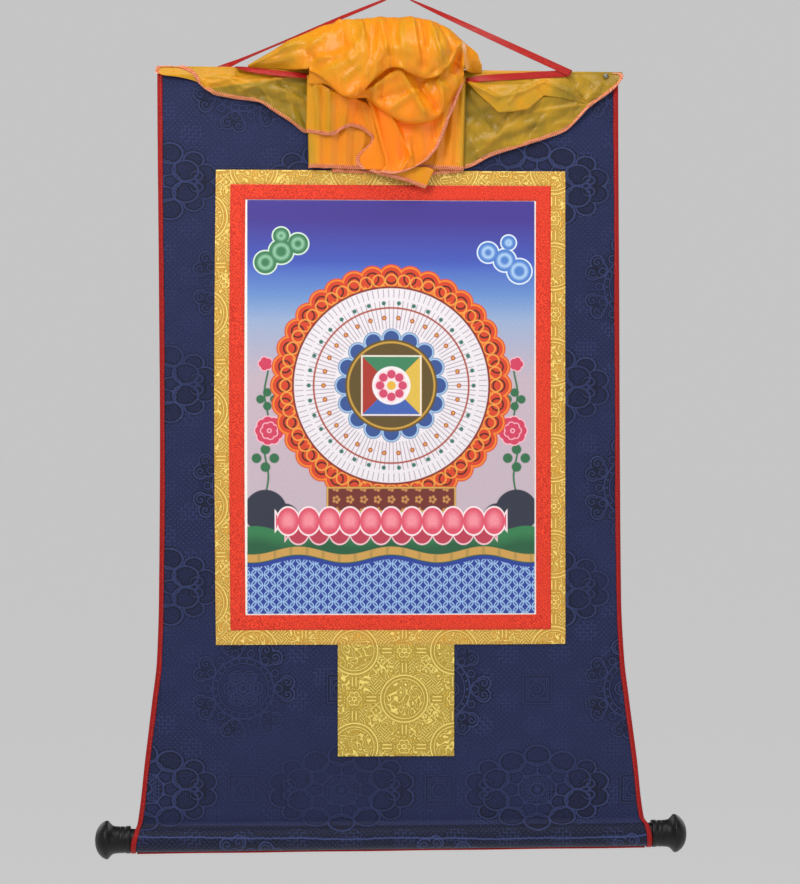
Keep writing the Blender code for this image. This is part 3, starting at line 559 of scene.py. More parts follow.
def mottled(x, z, seed, size):
    """Smooth unevenness from -1 to 1 with spots of about that size."""
    rng = np.random.default_rng(seed)
    total = 0.0 * (x + z)
    for _ in range(MOTTLE_WAVES):
        turn, phase = rng.uniform(0, math.pi), rng.uniform(0, 2 * math.pi)
        stretch = size * rng.uniform(0.7, 1.6)
        slanting = x * math.cos(turn) + z * math.sin(turn)
        total = total + np.sin(2 * np.pi * slanting / stretch + phase)
    return total / MOTTLE_WAVES


def linear(value):
    value /= 255
    return value / 12.92 if value <= 0.04045 else ((value + 0.055) / 1.055) ** 2.4


def colour(text):
    return (*(linear(int(text[i : i + 2], 16)) for i in (0, 2, 4)), 1.0)


def deselect():
    for piece in bpy.context.view_layer.objects:
        piece.select_set(False)


def finished(piece, look, slot, *nodes):
    """Gives a piece its material, its record slot, its body and the nodes it stands for."""
    piece.data.materials.clear()
    piece.data.materials.append(look)
    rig.ride(piece, "root")
    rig.slot(piece, slot)
    if nodes:
        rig.replaces(piece, *nodes)
    return piece


def mesh_piece(name, points, faces, uvs=None, tint=None):
    """A mesh from points in millimetres; uvs are millimetres along the cloth, per point."""
    mesh = bpy.data.meshes.new(name)
    mesh.from_pydata((np.asarray(points) * MM).tolist(), [], faces)
    if uvs is not None:
        corner = np.zeros(len(mesh.loops), np.int32)
        mesh.loops.foreach_get("vertex_index", corner)
        layer = mesh.uv_layers.new(name="cloth")
        layer.data.foreach_set("uv", (np.asarray(uvs)[corner] * MM).astype(np.float32).ravel())
    if tint is not None:
        layer = mesh.attributes.new("tint", "FLOAT", "POINT")
        layer.data.foreach_set("value", np.asarray(tint, np.float32))
    mesh.shade_smooth()
    piece = bpy.data.objects.new(name, mesh)
    bpy.context.scene.collection.objects.link(piece)
    return piece


def grid_faces(rows, columns, start=0, keep=None):
    a = start + np.arange(rows - 1)[:, None] * columns + np.arange(columns - 1)[None]
    quads = np.stack([a, a + columns, a + columns + 1, a + 1], 2)
    return quads[keep].tolist() if keep is not None else quads.reshape(-1, 4).tolist()


def sheets(name, grids, tints=None, keeps=None, level=False):
    """One open mesh from several grids of points, with lengths along the cloth as UVs.

    A level sheet hangs flat, and its UVs are its places in the picture's plane.
    """
    points, faces, uvs = [], [], []
    for i, grid in enumerate(grids):
        rows, columns = grid.shape[:2]
        faces += grid_faces(rows, columns, sum(map(len, points)), keeps[i] if keeps else None)
        down = np.linalg.norm(np.diff(grid, axis=0), axis=2)
        down = np.vstack([np.zeros((1, columns)), np.cumsum(down, axis=0)])
        points.append(grid.reshape(-1, 3))
        uvs.append(np.stack([grid[..., 0], grid[..., 2] if level else -down], 2).reshape(-1, 2))
    tint = np.concatenate([one.reshape(-1) for one in tints]) if tints else None
    return mesh_piece(name, np.vstack(points), faces, np.vstack(uvs), tint)


def thicken(piece, thickness, offset=0.0, even=True):
    """Turns an open sheet into cloth of that thickness; offset 1 lays it all in front."""
    deselect()
    bpy.context.view_layer.objects.active = piece
    shell = piece.modifiers.new("thickness", "SOLIDIFY")
    shell.thickness = thickness * MM
    shell.offset = offset
    shell.use_even_offset = even
    bpy.ops.object.modifier_apply(modifier=shell.name)
    piece.data.shade_smooth()
    return piece


# ---- materials -----------------------------------------------------------------------------
def add_node(tree, kind, *links, named=None, output=None, **options):
    """Adds a node: options are its settings, links fill its inputs in order or by name.

    A name may be a socket's identifier, such as A_Color where several sockets are called A.
    """
    made = tree.nodes.new(kind)
    for option, value in options.items():
        setattr(made, option, value)
    fills = list(zip(made.inputs, links))
    for name, value in (named or {}).items():
        fills.append((next(s for s in made.inputs if name in (s.identifier, s.name)), value))
    for socket, value in fills:
        if isinstance(value, bpy.types.NodeSocket):
            tree.links.new(value, socket)
        elif value is not None:
            socket.default_value = value
    return made.outputs[output] if output else next(s for s in made.outputs if s.enabled)


MATHS = {
    "abs": "ABSOLUTE", "min": "MINIMUM", "max": "MAXIMUM", "sin": "SINE", "cos": "COSINE",
    "sqrt": "SQRT", "atan2": "ARCTAN2", ast.Add: "ADD", ast.Sub: "SUBTRACT",
    ast.Mult: "MULTIPLY", ast.Div: "DIVIDE", ast.Pow: "POWER",
}
FOLDED = {ast.Add: operator.add, ast.Sub: operator.sub, ast.Mult: operator.mul, ast.Div: operator.truediv}
# Shapes that the woven and printed patterns are drawn with: above zero inside, in
# millimetres from the edge.
SHAPES = {
    # word: its values, and its formula
    "hypot": ("a b", "sqrt(a * a + b * b)"),
    "disc": ("x y r", "r - hypot(x, y)"),
    "box": ("x y w h", "min(w - abs(x), h - abs(y))"),
    "line": ("d w", "w / 2 - abs(d)"),
    "inside": ("d", "min(max(d / 0.5 + 0.5, 0), 1)"),
    "fold": ("x y n", "wrap(atan2(y, x), 3.14159 / n)"),
    "lobe": ("r t d a", "a - hypot(r * cos(t) - d, r * sin(t))"),
    "petals": ("x y n d a", "lobe(hypot(x, y), fold(x, y, n), d, a)"),
    "spiral": ("x y p w", "line(wrap(hypot(x, y) - atan2(y, x) * p / 6.28318, p / 2), w)"),
}
SHARES = ("Factor_Float", "A_Color", "B_Color")
WAVES_IN = ("Vector", "Scale", "Distortion", "Detail")
# Words that stand for a node of their own.
SOURCES = {
    # word: kind of node, its output, the inputs that its values fill, its settings
    "cloth": ("ShaderNodeUVMap", "UV", (), {"uv_map": "cloth"}),
    "place": ("ShaderNodeTexCoord", "Object", (), {}),
    "sky": ("ShaderNodeTexCoord", "Generated", (), {}),
    "tint": ("ShaderNodeAttribute", "Fac", (), {"attribute_name": "tint"}),
    "across": ("ShaderNodeSeparateXYZ", "X", ("Vector",), {}),
    "up": ("ShaderNodeSeparateXYZ", "Y", ("Vector",), {}),
    "height": ("ShaderNodeSeparateXYZ", "Z", ("Vector",), {}),
    "grey": ("ShaderNodeCombineXYZ", None, ("X", "Y", "Z"), {}),
    "scaled": ("ShaderNodeVectorMath", None, ("Vector", "Scale"), {"operation": "SCALE"}),
    "stretched": ("ShaderNodeMapping", None, ("Vector", "Scale"), {}),
    "noise": ("ShaderNodeTexNoise", None, ("Vector", "Scale", "Detail", "Distortion"), {}),
    "ribs": ("ShaderNodeTexWave", None, WAVES_IN, {"bands_direction": "X"}),
    "twill": ("ShaderNodeTexWave", None, WAVES_IN, {"bands_direction": "DIAGONAL"}),
    "mix": ("ShaderNodeMix", None, SHARES, {"data_type": "RGBA"}),
    "times": ("ShaderNodeMix", None, SHARES, {"data_type": "RGBA", "blend_type": "MULTIPLY"}),
}


def formula(tree, text, names):
    """Turns a formula into nodes; names holds the values and sockets that it may read.

    A text in it is a colour, as sRGB hex.
    """

    def value(part):
        if isinstance(part, ast.Constant):
            return colour(part.value) if isinstance(part.value, str) else float(part.value)
        if isinstance(part, ast.Name):
            return names[part.id]
        if isinstance(part, ast.Tuple):
            return tuple(map(value, part.elts))
        if isinstance(part, ast.UnaryOp):
            return value(ast.BinOp(ast.Constant(0.0), ast.Sub(), part.operand))
        if isinstance(part, ast.BinOp):
            kind, given = type(part.op), [value(part.left), value(part.right)]
            if all(isinstance(one, float) for one in given) and kind in FOLDED:
                return FOLDED[kind](*given)
            return add_node(tree, "ShaderNodeMath", *given, operation=MATHS[kind])
        kind, given = part.func.id, [value(one) for one in part.args]
        if kind in SHAPES:
            words, rule = SHAPES[kind]
            return formula(tree, rule, dict(zip(words.split(), given)))
        if kind in SOURCES:
            node, output, inputs, options = SOURCES[kind]
            return add_node(tree, node, named=dict(zip(inputs, given)), output=output, **options)
        if kind == "wrap":
            return add_node(tree, "ShaderNodeMath", given[0], given[1], -given[1], operation="WRAP")
        while len(given) > 2:
            both = add_node(tree, "ShaderNodeMath", *given[:2], operation=MATHS[kind])
            given = [both, *given[2:]]
        return add_node(tree, "ShaderNodeMath", *given, operation=MATHS[kind])

    return value(ast.parse(text).body[0].value)


# Millimetres along the cloth, from its UV map, and on a hard piece.
ON_CLOTH = (("point", "scaled(cloth(), 1000)"), ("x", "across(point)"), ("y", "up(point)"))
ON_PIECE = (("point", "scaled(place(), 1000)"),)


def material(name, rules, sockets, bump=None, stops=None, **names):
    """A look from formulas: their tone, rough and raised fill the shader's inputs.

    Sockets are what is the same all over it, bump is the strength and the depth in
    millimetres of what is raised, and stops turn the value at into a tone.
    """
    look = bpy.data.materials.new(name)
    look.use_nodes = True
    tree = look.node_tree
    shader = tree.nodes["Principled BSDF"].inputs
    for key, rule in rules:
        names[key] = formula(tree, rule, names)
    if stops:
        names["tone"] = add_node(tree, "ShaderNodeValToRGB", names["at"])
        ramp = names["tone"].node.color_ramp.elements
        while len(ramp) < len(stops):
            ramp.new(0.5)
        for stop, (place, text) in zip(ramp, stops):
            stop.position = place
            stop.color = colour(text)
    if bump:
        named = {"Height": names["raised"], "Strength": bump[0], "Distance": bump[1] * MM}
        names["normal"] = add_node(tree, "ShaderNodeBump", named=named)
    for key, socket in (("tone", "Base Color"), ("rough", "Roughness"), ("normal", "Normal")):
        if key in names:
            tree.links.new(names[key], shader[socket])
    for socket, value in sockets.items():
        shader[socket].default_value = value
    return look


# Tone-on-tone figure of the navy brocade, in half drop: broad lotus medallions, and rings
# of beads and flowers with cloud heads round them, on a ground of small scales and frets.
BROCADE = (
    # name, formula
    ("a", "wrap(x + 58, 100) * 0.8"),
    ("b", "wrap(y + 132, 103)"),
    ("c", "wrap(x + 158, 100)"),
    ("d", "wrap(y + 29, 103)"),
    ("rl", "hypot(a, b)"),
    ("rc", "hypot(c, d)"),
    ("tc", "fold(c, d, 7)"),
    ("u", "rc * cos(tc) - 45"),
    ("w", "abs(rc * sin(tc))"),
    ("leaf", "max(petals(a, b, 10, 22, 7.4), disc(a, b, 16))"),
    ("leaf2", "petals(b, a, 10, 35, 10.4)"),
    ("wings", "max(disc(abs(a) - 49, abs(b) - 8, 9.5), disc(abs(a) - 40, abs(b) - 22, 8))"),
    ("lotus", "max(line(leaf, 1.6), min(line(leaf2, 1.7), rl - 29), line(max(leaf2, wings), 1.6))"),
    ("heart", "max(line(disc(a, b, 15.5), 1.4), line(disc(a, b, 6), 1.4), disc(a, b, 2.2))"),
    ("veins", "max(min(line(rl * sin(abs(fold(a, b, 10)) - 0.314), 1.2), rl - 15, 28 - rl), "
     "min(line(rl * sin(fold(a, b, 20)), 0.8), rl - 7, 14 - rl))"),
    ("hooks", "min(spiral(abs(a) - 43, abs(b) - 5, 4.2, 1.5), disc(abs(a) - 43, abs(b) - 5, 6))"),
    ("sprig", "max(leaf2, wings)"),
    ("rim", "max(hooks, heart)"),
    ("beads", "max(line(disc(c, d, 31), 1.7), line(disc(c, d, 25.5), 1.2), "
     "petals(c, d, 22, 28.2, 1.3))"),
    ("bloom", "petals(c, d, 6, 13, 6.6)"),
    ("core", "max(line(bloom, 1.4), line(bloom - 3, 1.1), line(disc(c, d, 4), 1.4))"),
    ("head", "max(disc(u, w - 6, 7), disc(u + 5, w, 8))"),
    ("cloud", "max(line(head, 1.7), min(spiral(u, w - 6, 3.6, 1.4), disc(u, w - 6, 5.4)))"),
    ("tail", "max(line(petals(c, d, 14, 36, 3.6), 1.2), -9)"),
    ("busy", "max(sprig, 44 - rl, head, 46 - rc)"),
    ("e", "wrap(x + 58, 50)"),
    ("f", "wrap(y + 29, 51.5)"),
    ("seal", "max(line(line(box(e, f, 13, 13), 3.2), 1), line(disc(e, f, 7.5), 1.3), "
     "line(box(e, f, 9.4, 9.4), 1), line(disc(e, f, 3), 1))"),
    ("sealed", "box(e, f, 16, 16)"),
    ("g", "wrap(x, 2.7)"),
    ("h", "wrap(y, 2.7)"),
    ("scales", "max(disc(g, h, 0.8), disc(abs(g) - 2.7, abs(h) - 2.7, 0.8))"),
    # Small frets stand in some places, and scales in the rest.
    ("turf", "sin(x * 0.117 + 1) * sin(y * 0.131) * 12 - 3"),
    ("rows", "sin(x * 0.8) * sin(y * 0.8) * 9"),
    ("key", "min(max(min(line(wrap(x, 1.9), 1.4), rows), min(line(wrap(y, 1.9), 1.4), 0 - rows)), turf)"),
    ("figure", "max(lotus, veins, rim, beads, core, cloud, tail)"),
)
# Figure of the gold brocade: roundels in half drop, each between small flowers with four
# pairs of bars, and key frets, lattice and curls in what is left.
GOLD = (
    ("a", "wrap(x - 6, 51)"),
    ("b", "wrap(y + 718, 49)"),
    ("c", "wrap(x - 57, 51)"),
    ("d", "wrap(y + 767, 49)"),
    ("near", "max(disc(a, b, 24.8), disc(c, d, 24.8))"),
    ("swirl", "line(wrap(curls * 34 + hypot(a, b) * 0.2, 2.2), 1.4)"),
    ("one", "max(line(disc(a, b, 24), 1.6), line(disc(a, b, 20.4), 1.1))"),
    ("two", "max(line(disc(c, d, 24), 1.6), line(disc(c, d, 20.4), 1.1))"),
    ("within", "min(swirl, max(disc(a, b, 18.6), disc(c, d, 18.6)))"),
    ("bloom", "max(line(petals(c, b, 6, 4.6, 2.6), 1.2), line(disc(c, b, 1.9), 1.1), "
     "line(petals(a, d, 6, 4.6, 2.6), 1.2), line(disc(a, d, 1.9), 1.1))"),
    ("bars", "max(min(line(abs(b) - 1.9, 1.5), line(abs(c) - 17.5, 10)), "
     "min(line(abs(c) - 1.9, 1.5), line(abs(b) - 17.5, 10)), "
     "min(line(abs(d) - 1.9, 1.5), line(abs(a) - 17.5, 10)), "
     "min(line(abs(a) - 1.9, 1.5), line(abs(d) - 17.5, 10)))"),
    ("kept", "max(box(c, b, 8.6, 8.6), box(a, d, 8.6, 8.6), near, "
     "min(line(b, 8), line(abs(c) - 17.5, 13)), min(line(c, 8), line(abs(b) - 17.5, 13)), "
     "min(line(d, 8), line(abs(a) - 17.5, 13)), min(line(a, 8), line(abs(d) - 17.5, 13)))"),
    ("p", "(x + y) * 0.7071"),
    ("q", "(x - y) * 0.7071"),
    ("turn", "sin(p * 0.42) * sin(q * 0.42)"),
    ("keys", "max(min(line(wrap(p, 1.25), 1), turn * 9), min(line(wrap(q, 1.25), 1), 0 - turn * 9))"),
    ("net", "max(line(wrap(p, 4), 1.1), line(wrap(q, 4), 1.1), "
     "disc(wrap(p - 4, 4), wrap(q - 4, 4), 1.2))"),
    ("loops", "line(wrap(curls * 38 + 3, 2.4), 1.5)"),
    ("choice", "sin(x * 0.1232 + 0.7) * sin(y * 0.1282 + 1.1)"),
    ("fill", "max(min(keys, choice * 20 - 4), min(loops, 4 - choice * 20), "
     "min(net, 0 - 6 - choice * 20))"),
    ("raw", "max(one, two, within, bloom, bars, min(fill, -0.6 - kept))"),
    ("figure", "inside(raw)"),
    # Painted shade: a dark rim beside each line of the figure.
    ("hollows", "inside(raw + 1.4) - figure"),
)


def brocade_material(ground):
    """Silk and rayon jacquard: matt navy, its figure in pale ridges, their paleness partly painted highlight, with
    painted shade darkening the hollow beside them.

    The real threads are 0.2 mm apart; they are drawn at 1 mm so that their grain shows.
    """
    rules = (
        ("drift", "noise(point, 0.009, 2)"),
        ("grain", "noise(point, 1, 2)"),
        # Lines are worn away where the pile of the cloth lies flat, most of all low on the left.
        ("worn", "min(max(1.4 - hypot((x + 80) / 130, (y + 735) / 66), 0), 1)"),
        ("tight", "inside(0 - 788 - y)"),
        ("clear", "max(min(max((drift - 0.36) * 5, 0.45), 1) * (1 - worn * 0.72), tight)"),
        ("open", "min(0 - busy, 0 - sealed)"),
        ("lines", "max(inside(figure), inside(seal) * 0.8) * clear"),
        # Painted shade in the hollow beside each line of the figure.
        ("dips", "max(inside(figure + 1.5), inside(seal + 1.2) * 0.8) * clear - lines"),
        ("pile", "inside(min(scales, min(open, 0 - turf))) * 1.1 + inside(min(key, open)) * 1.1"),
        # The last term of high is a painted highlight: a pale line along the sleeve on the roller.
        ("high", "lines * 0.8 + pile * clear * 0.5 + inside(line(y + 801 + drift * 5, 1.4)) * 1.5"),
        # The lotus and cloud heads are woven a little darker; painted shade darkens the sleeve round the roller, and a
        # painted highlight runs along it.
        ("shade", "inside(max(sprig, head)) * clear * 0.35 + tight * 0.8 * (1 - lines)"),
        # deep is painted shade beside the figure's lines and on the sleeve, with the grain's dark specks; pale is the
        # figure's lines, partly painted highlight, with the painted highlight line on the sleeve.
        ("deep", "min(dips * 0.85 + shade + max(0.62 - grain, 0) * 2.4, 1)"),
        ("pale", "min(high * 0.55 + max(grain - 0.56, 0) * 3, 1)"),
        ("tone", "mix(pale, mix(deep, mix(drift, ground, '171D3E'), '0D1126'), '3E4A7C')"),
        ("raised", "high * 0.8 - dips * 0.4 + grain * 0.5"),
    )
    sockets = {
        "Roughness": 0.6,
        "Sheen Weight": 0.05,
        "Sheen Roughness": 0.4,
        "Specular IOR Level": 0.22,
    }
    name = "navy jacquard brocade"
    return material(name, ON_CLOTH + BROCADE + rules, sockets, (0.6, 0.5), ground=ground)


def gold_material(name, light, base, deep):
    """Gold jacquard: flat lurex and rayon, its figure in bright ridges, partly painted highlight, with painted shade
    in the hollow beside them.
    """
    before = (("curls", "noise(point, 0.085, 1)"), ("grain", "noise(point, 1, 2)"))
    rules = (
        # low is painted shade in the hollow beside the figure, with the grain's dark specks; high is the figure,
        # partly painted highlight.
        ("low", "min(hollows * 0.5 + max(0.6 - grain, 0) * 1.3, 1)"),
        ("high", "min(figure * 0.8 + max(grain - 0.5, 0) * 1.6, 1)"),
        ("tone", "mix(high, mix(low, base, deep), light)"),
        ("rough", "0.52 - figure * 0.1"),
        ("raised", "figure - hollows * 0.3 + grain * 0.25"),
    )
    rules = ON_CLOTH + before + GOLD + rules
    return material(name, rules, {"Metallic": 0.2}, (0.85, 0.8), light=light, base=base, deep=deep)


def twill_material(name, base, deep, roughness=0.62, pitch=1.5):
    """Plain woven tape or twill: fine slanting grain, a little worn where it is high."""
    rules = (
        ("grain", "noise(point, 1.1 / pitch, 3)"),
        ("slant", "twill(point, 0.2 / pitch, 2.4, 1)"),
        ("tone", "mix(min(max(grain * 3.4 - 1.3 + slant * 0.2, 0), 1), deep, base)"),
        ("raised", "grain + slant * 0.4"),
    )
    sockets = {"Roughness": roughness, "Sheen Weight": 0.04, "Specular IOR Level": 0.2}
    return material(name, ON_PIECE + rules, sockets, (0.5, 0.3), base=base, deep=deep, pitch=pitch)


def satin_material(name, base):
    """Satin ribbon: long floats along the ribbon that catch the light, over a dark ground."""
    rules = (
        ("grain", "noise(point, 0.5, 2)"),
        ("raised", "ribs(point, 0.35, 0.3)"),
        ("tone", "mix(grain * 1.1 - 0.1 + raised * 0.15, '7C0F10', base)"),
    )
    sockets = {
        "Roughness": 0.38,
        "Anisotropic": 0.4,
        "Sheen Weight": 0.03,
        "Specular IOR Level": 0.25,
    }
    return material(name, ON_CLOTH[:1] + rules, sockets, (0.35, 0.2), base=base)


def silk_material():
    """Thin habotai silk: olive where one layer lies on the navy, amber where it is gathered.

    The tint attribute says how many layers lie behind, from 0 to 1; painted light and shade
    from the folds are added to it. Threads are 0.12 mm apart; the fine crinkle between them is
    drawn at 1 mm.
    """
    rules = (
        ("layers", "tint()"),
        ("cloud", "noise(point, 0.045, 3)"),
        ("weave", "noise(point, 0.9, 2)"),
        ("wrinkle", "noise(stretched(point, (1, 0.35, 1)), 0.075, 2, 0.6)"),
        # Ridges run where the noise passes its middle; they are the fine creases of pressed silk.
        ("ridge", "(1 - min(abs(wrinkle - 0.5) * 9, 1)) ** 3"),
        # The fine creases also deepen the tint a little: painted shade along them.
        ("at", "layers + (cloud - 0.5) * 0.3 + (weave - 0.5) * 0.06 + ridge * 0.05"),
        ("raised", "weave * 0.2 + cloud * 0.9 + ridge * 0.3"),
    )
    stops = ((0, "8A7018"), (0.25, "B88C1C"), (0.5, "DA9214"), (0.75, "EC8810"), (1, "FF820C"))
    sockets = {
        "Roughness": 0.36,
        "Sheen Weight": 0.06,
        "Sheen Roughness": 0.35,
        "Specular IOR Level": 0.28,
        "Sheen Tint": colour("FFE9A8"),
        "Subsurface Weight": 0.1,
        "Subsurface Scale": 2 * MM,
    }
    return material("yellow habotai silk", ON_CLOTH[:1] + rules, sockets, (0.6, 0.9), stops)


def thread_material(name, base, pale):
    """Twisted polyester sewing thread: two plies, lighter where they catch the light."""
    rules = (("tone", "mix(noise(place(), 420, 1) * 2.2 - 0.75, base, pale)"),)
    return material(name, rules, {"Roughness": 0.5, "Sheen Weight": 0.3}, base=base, pale=pale)


def lacquer_material(wood):
    """Turned hardwood in black lacquer: satin gloss, with fine lathe rings under it."""
    rules = (
        ("pores", "noise(point, 0.5, 4)"),
        ("tone", "mix(pores * 1.4 - 0.3, '060505', wood)"),
        ("rough", "0.36 + pores * 0.16"),
        ("raised", "ribs(point, 0.42, 0.2) + pores * 0.5"),
    )
    sockets = {"Specular IOR Level": 0.3}
    return material("black lacquered wood", ON_PIECE + rules, sockets, (0.25, 0.15), wood=wood)


def dowel_material():
    """Plain pine dowel: long pale grain along the rod."""
    grain = "noise(stretched(place(), (12, 260, 260)), 1, 4)"
    return material("raw pine", (("tone", f"mix({grain}, 'C79E68', '9C7443')"),), {"Roughness": 0.7})


def steel_material():
    """Drawn steel nail head: dull, with scratches."""
    sockets = {"Base Color": colour("8A857C"), "Metallic": 1.0}
    return material("nail steel", (("rough", "0.28 + noise(place(), 600, 3) * 0.3"),), sockets)




# ---- mount ----------------------------------------------------------------------------------
def share(x):
    """How far to the right of the middle, as a share of the width that tilts."""
    return (np.asarray(x, float) - CENTRE_X) / SPAN


def top_edge(x):
    return TOP_Z - TOP_FALL * share(x)


def roller_line(x):
    return ROLLER_RISE * share(x)


def wave(x, z):
    """How far the mount's middle lies behind the plane of its top edge."""
    x, z = np.asarray(x, float), np.asarray(z, float)
    held = eased((TOP_Z - 40 - z) / 160) * eased((z - STITCH_Z - 6) / 90)
    deep = 0.0
    for depth, across, down, phase in WAVES:
        deep = deep + depth * np.sin(2 * np.pi * (x / across + z / down) + phase)
    foot = eased((-640 - z) / 120)
    fold = np.sin(2 * np.pi * x / 245 + 1.2) * np.clip(np.abs(x - CENTRE_X) / 230, 0.25, 1)
    return held * (deep + FLUTTER * foot * fold)


def side(z, inset, index):
    """x of the mount's left (1) or right (2) edge at a height, less an inset."""
    half = along(z, OUTLINE, index) - inset
    return CENTRE_X + (half if index == 2 else -half)


def panel_rows(drops, turns):
    """The cloth's route from its top hem to the seam behind the roller.

    Each row is (y, height, where it hangs from): 0 at the top edge, 1 at the roller.
    """
    half = TURN / 2
    rows = [(TURN, -HEM * down, 0) for down in (1, 0.75, 0.5, 0.3)]
    for angle in np.linspace(0, np.pi, 9):
        rows.append((half + half * math.cos(angle), -half + half * math.sin(angle) * 0.9, 0))
    drop = TOP_Z - STITCH_Z
    even = np.linspace(30, drop - 14, drops)
    for depth in (6, 10, 13, 18, 24, *even, drop - 10, drop - 5, drop - 2):
        rows.append((0.0, -depth, depth / drop))
    reach = STITCH_Z - ROLLER_Z
    first = math.acos(min(1.0, LOOP_R / (reach + 1.5)))
    for angle in np.linspace(first, 2 * np.pi - first, turns):
        rows.append((-LOOP_R * math.sin(angle), LOOP_R * math.cos(angle), 1))
    rows += [(TURN + 0.6, reach + 1.5, 1), (TURN, reach + 5, 1), (TURN, reach + HEM - 2, 1)]
    return rows


def panel_grid(xs_of, rows):
    """Points of the mount's middle: xs_of gives a row's x values from its height."""
    grid = []
    for y, z, hung in rows:
        height = (ROLLER_Z if hung == 1 and z > -80 else TOP_Z) + z
        if 0 < hung < 1:
            height = TOP_Z + z
        xs = xs_of(height)
        if hung == 1:
            zs = height + roller_line(xs)
        else:
            zs = height + (1 - hung) * (top_edge(xs) - TOP_Z) + hung * roller_line(xs)
        ys = y + (wave(xs, height) if 0 < hung < 1 else 0 * xs)
        grid.append(np.stack([xs, ys, zs], 1))
    return np.array(grid)


def make_mount(look, lining):
    """The brocade: turned hem above, flared foot, and a sleeve turned round the roller.

    Its back is lined between the top hem and the seam behind the roller.
    """
    inset = BIND_WALL + 1.4 * GAP
    spread = np.linspace(0, 1, MOUNT_CELLS)

    def xs_of(height):
        left, right = side(height, inset, 1), side(height, inset, 2)
        return left + (right - left) * spread

    rows = panel_rows(*MOUNT_ROWS)
    grid = panel_grid(xs_of, rows)
    x, z = grid[..., 0], grid[..., 2]
    hung = np.array([row[2] for row in rows])[:, None]
    flat = eased((TOP_Z - 20 - z) / 30) * eased((z - STITCH_Z - 2) / 8) * (hung < 1)
    # The seam above the roller draws the cloth in, and the tapes pucker its edges.
    near_seam = bell(z - STITCH_Z, 9) * (hung < 1)
    edge = np.minimum(x - side(z, inset, 1), side(z, inset, 2) - x)
    pucker = bell(edge, 9) * flat
    grid[..., 1] += 0.22 * mottled(x, z, 3, 46) * flat
    grid[..., 1] += 0.35 * near_seam * np.sin(x / 2.6 + 2 * np.sin(x / 17))
    grid[..., 1] += 0.3 * pucker * np.sin(z / 3.1 + 2 * np.sin(z / 23))
    first = len(rows) - MOUNT_ROWS[1] - 3
    sleeve = (hung == 1) * eased((np.arange(len(rows))[:, None] - first) / 4)
    grid[..., 1] += 0.25 * sleeve * mottled(x, z * 3, 5, 38)
    # The seam above the roller is a shallow trough.
    grid[..., 1] += 0.7 * bell(z - STITCH_Z, 1.9) * (hung < 1)
    piece = thicken(sheets("mount_cloth", [grid]), CLOTH)
    finished(piece, look, "navy_brocade", "mount_panel")
    piece.data.materials.append(lining)
    for face in piece.data.polygons:
        z = face.center.z / MM
        lined = STITCH_Z + 2 < z < TOP_Z - HEM and face.normal.y > 0.5
        face.material_index = 1 if lined else 0
    return piece


def across_bends(line):
    """Per point of a line in the YZ plane, the way to its front side, longer at a bend."""
    run = unit(np.diff(line, axis=0))
    face = np.stack([run[:, 1], -run[:, 0]], 1)
    face = np.vstack([face[:1], face, face[-1:]])
    both = face[:-1] + face[1:]
    return both / (1 + (face[:-1] * face[1:]).sum(1))[:, None]


def make_side_binding(name, index, look):
    """Red tape folded round the cloth's edge: front leg, rounded edge and back leg."""
    rows = [row for row in panel_rows(*BIND_ROWS) if row[2] > 0][:-6]
    out = 1 if index == 2 else -1
    edge = panel_grid(lambda height: np.array([side(height, BIND_WALL / 2, index)]), rows)[:, 0]
    leg = PANEL / 2 + GAP + BIND_WALL / 2
    front = np.zeros_like(edge)
    front[:, 1:] = across_bends(edge[:, 1:]) * leg
    run = run_of(edge)
    wide = BIND_FACE - BIND_WALL / 2 + 0.25 * np.sin(run / 31) + 0.12 * np.sin(run / 7.3)
    across = np.stack([out * wide, 0 * run, 0 * run], 1)
    stitch = 0.12 * np.cos(2 * np.pi * run / BIND_PITCH)[:, None]
    strips = []
    for inward, forward in BIND_SECTION:
        dent = stitch * (0.55 < inward < 0.85)
        strips.append(edge - across * inward + front * (forward - dent))
    grid = np.stack(strips if out > 0 else strips[::-1], 1)
    piece = thicken(sheets(name.replace("binding", "tape"), [grid]), BIND_WALL * 0.7)
    return finished(piece, look, "red_binding", name)


def make_hem_tape(look):
    """The narrow red tape that shows along the foot, just under the roller's sleeve."""
    z = ROLLER_Z - LOOP_R - CLOTH / 2 + 0.2
    xs = np.linspace(side(z, BIND_FACE + 1.5, 1), side(z, BIND_FACE + 1.5, 2), 240)
    zs = z + roller_line(xs) + 0.12 * np.sin(xs / 19)
    rows = []
    for y, down in HEM_SECTION:
        rows.append(np.stack([xs, 0.2 + y + 0 * xs, zs - down], 1))
    piece = thicken(sheets("hem_tape", [np.array(rows)]), 0.4)
    return finished(piece, look, "red_binding", "hem_binding")


# ---- frame, picture and door ----------------------------------------------------------------
def bowed(x, z):
    """The frame isn't cut quite true: its left side bows out."""
    left, _, top, bottom = FRAME
    down = np.clip((top - z) / (top - bottom), 0, 1)
    aside = np.clip((CENTRE_X - x) / (CENTRE_X - left), 0, 1)
    return x - FRAME_BOW * aside * np.sin(np.pi * down)


def stops(length, cell, edge):
    """Places from 0 to 1 across a piece, close together at its two rounded edges."""
    near = np.array([0, 0.35, 0.8, 1.5]) * edge
    middle = np.linspace(2.4 * edge, length - 2.4 * edge, max(2, round(length / cell)))
    return np.concatenate([near, middle, length - near[::-1]]) / length


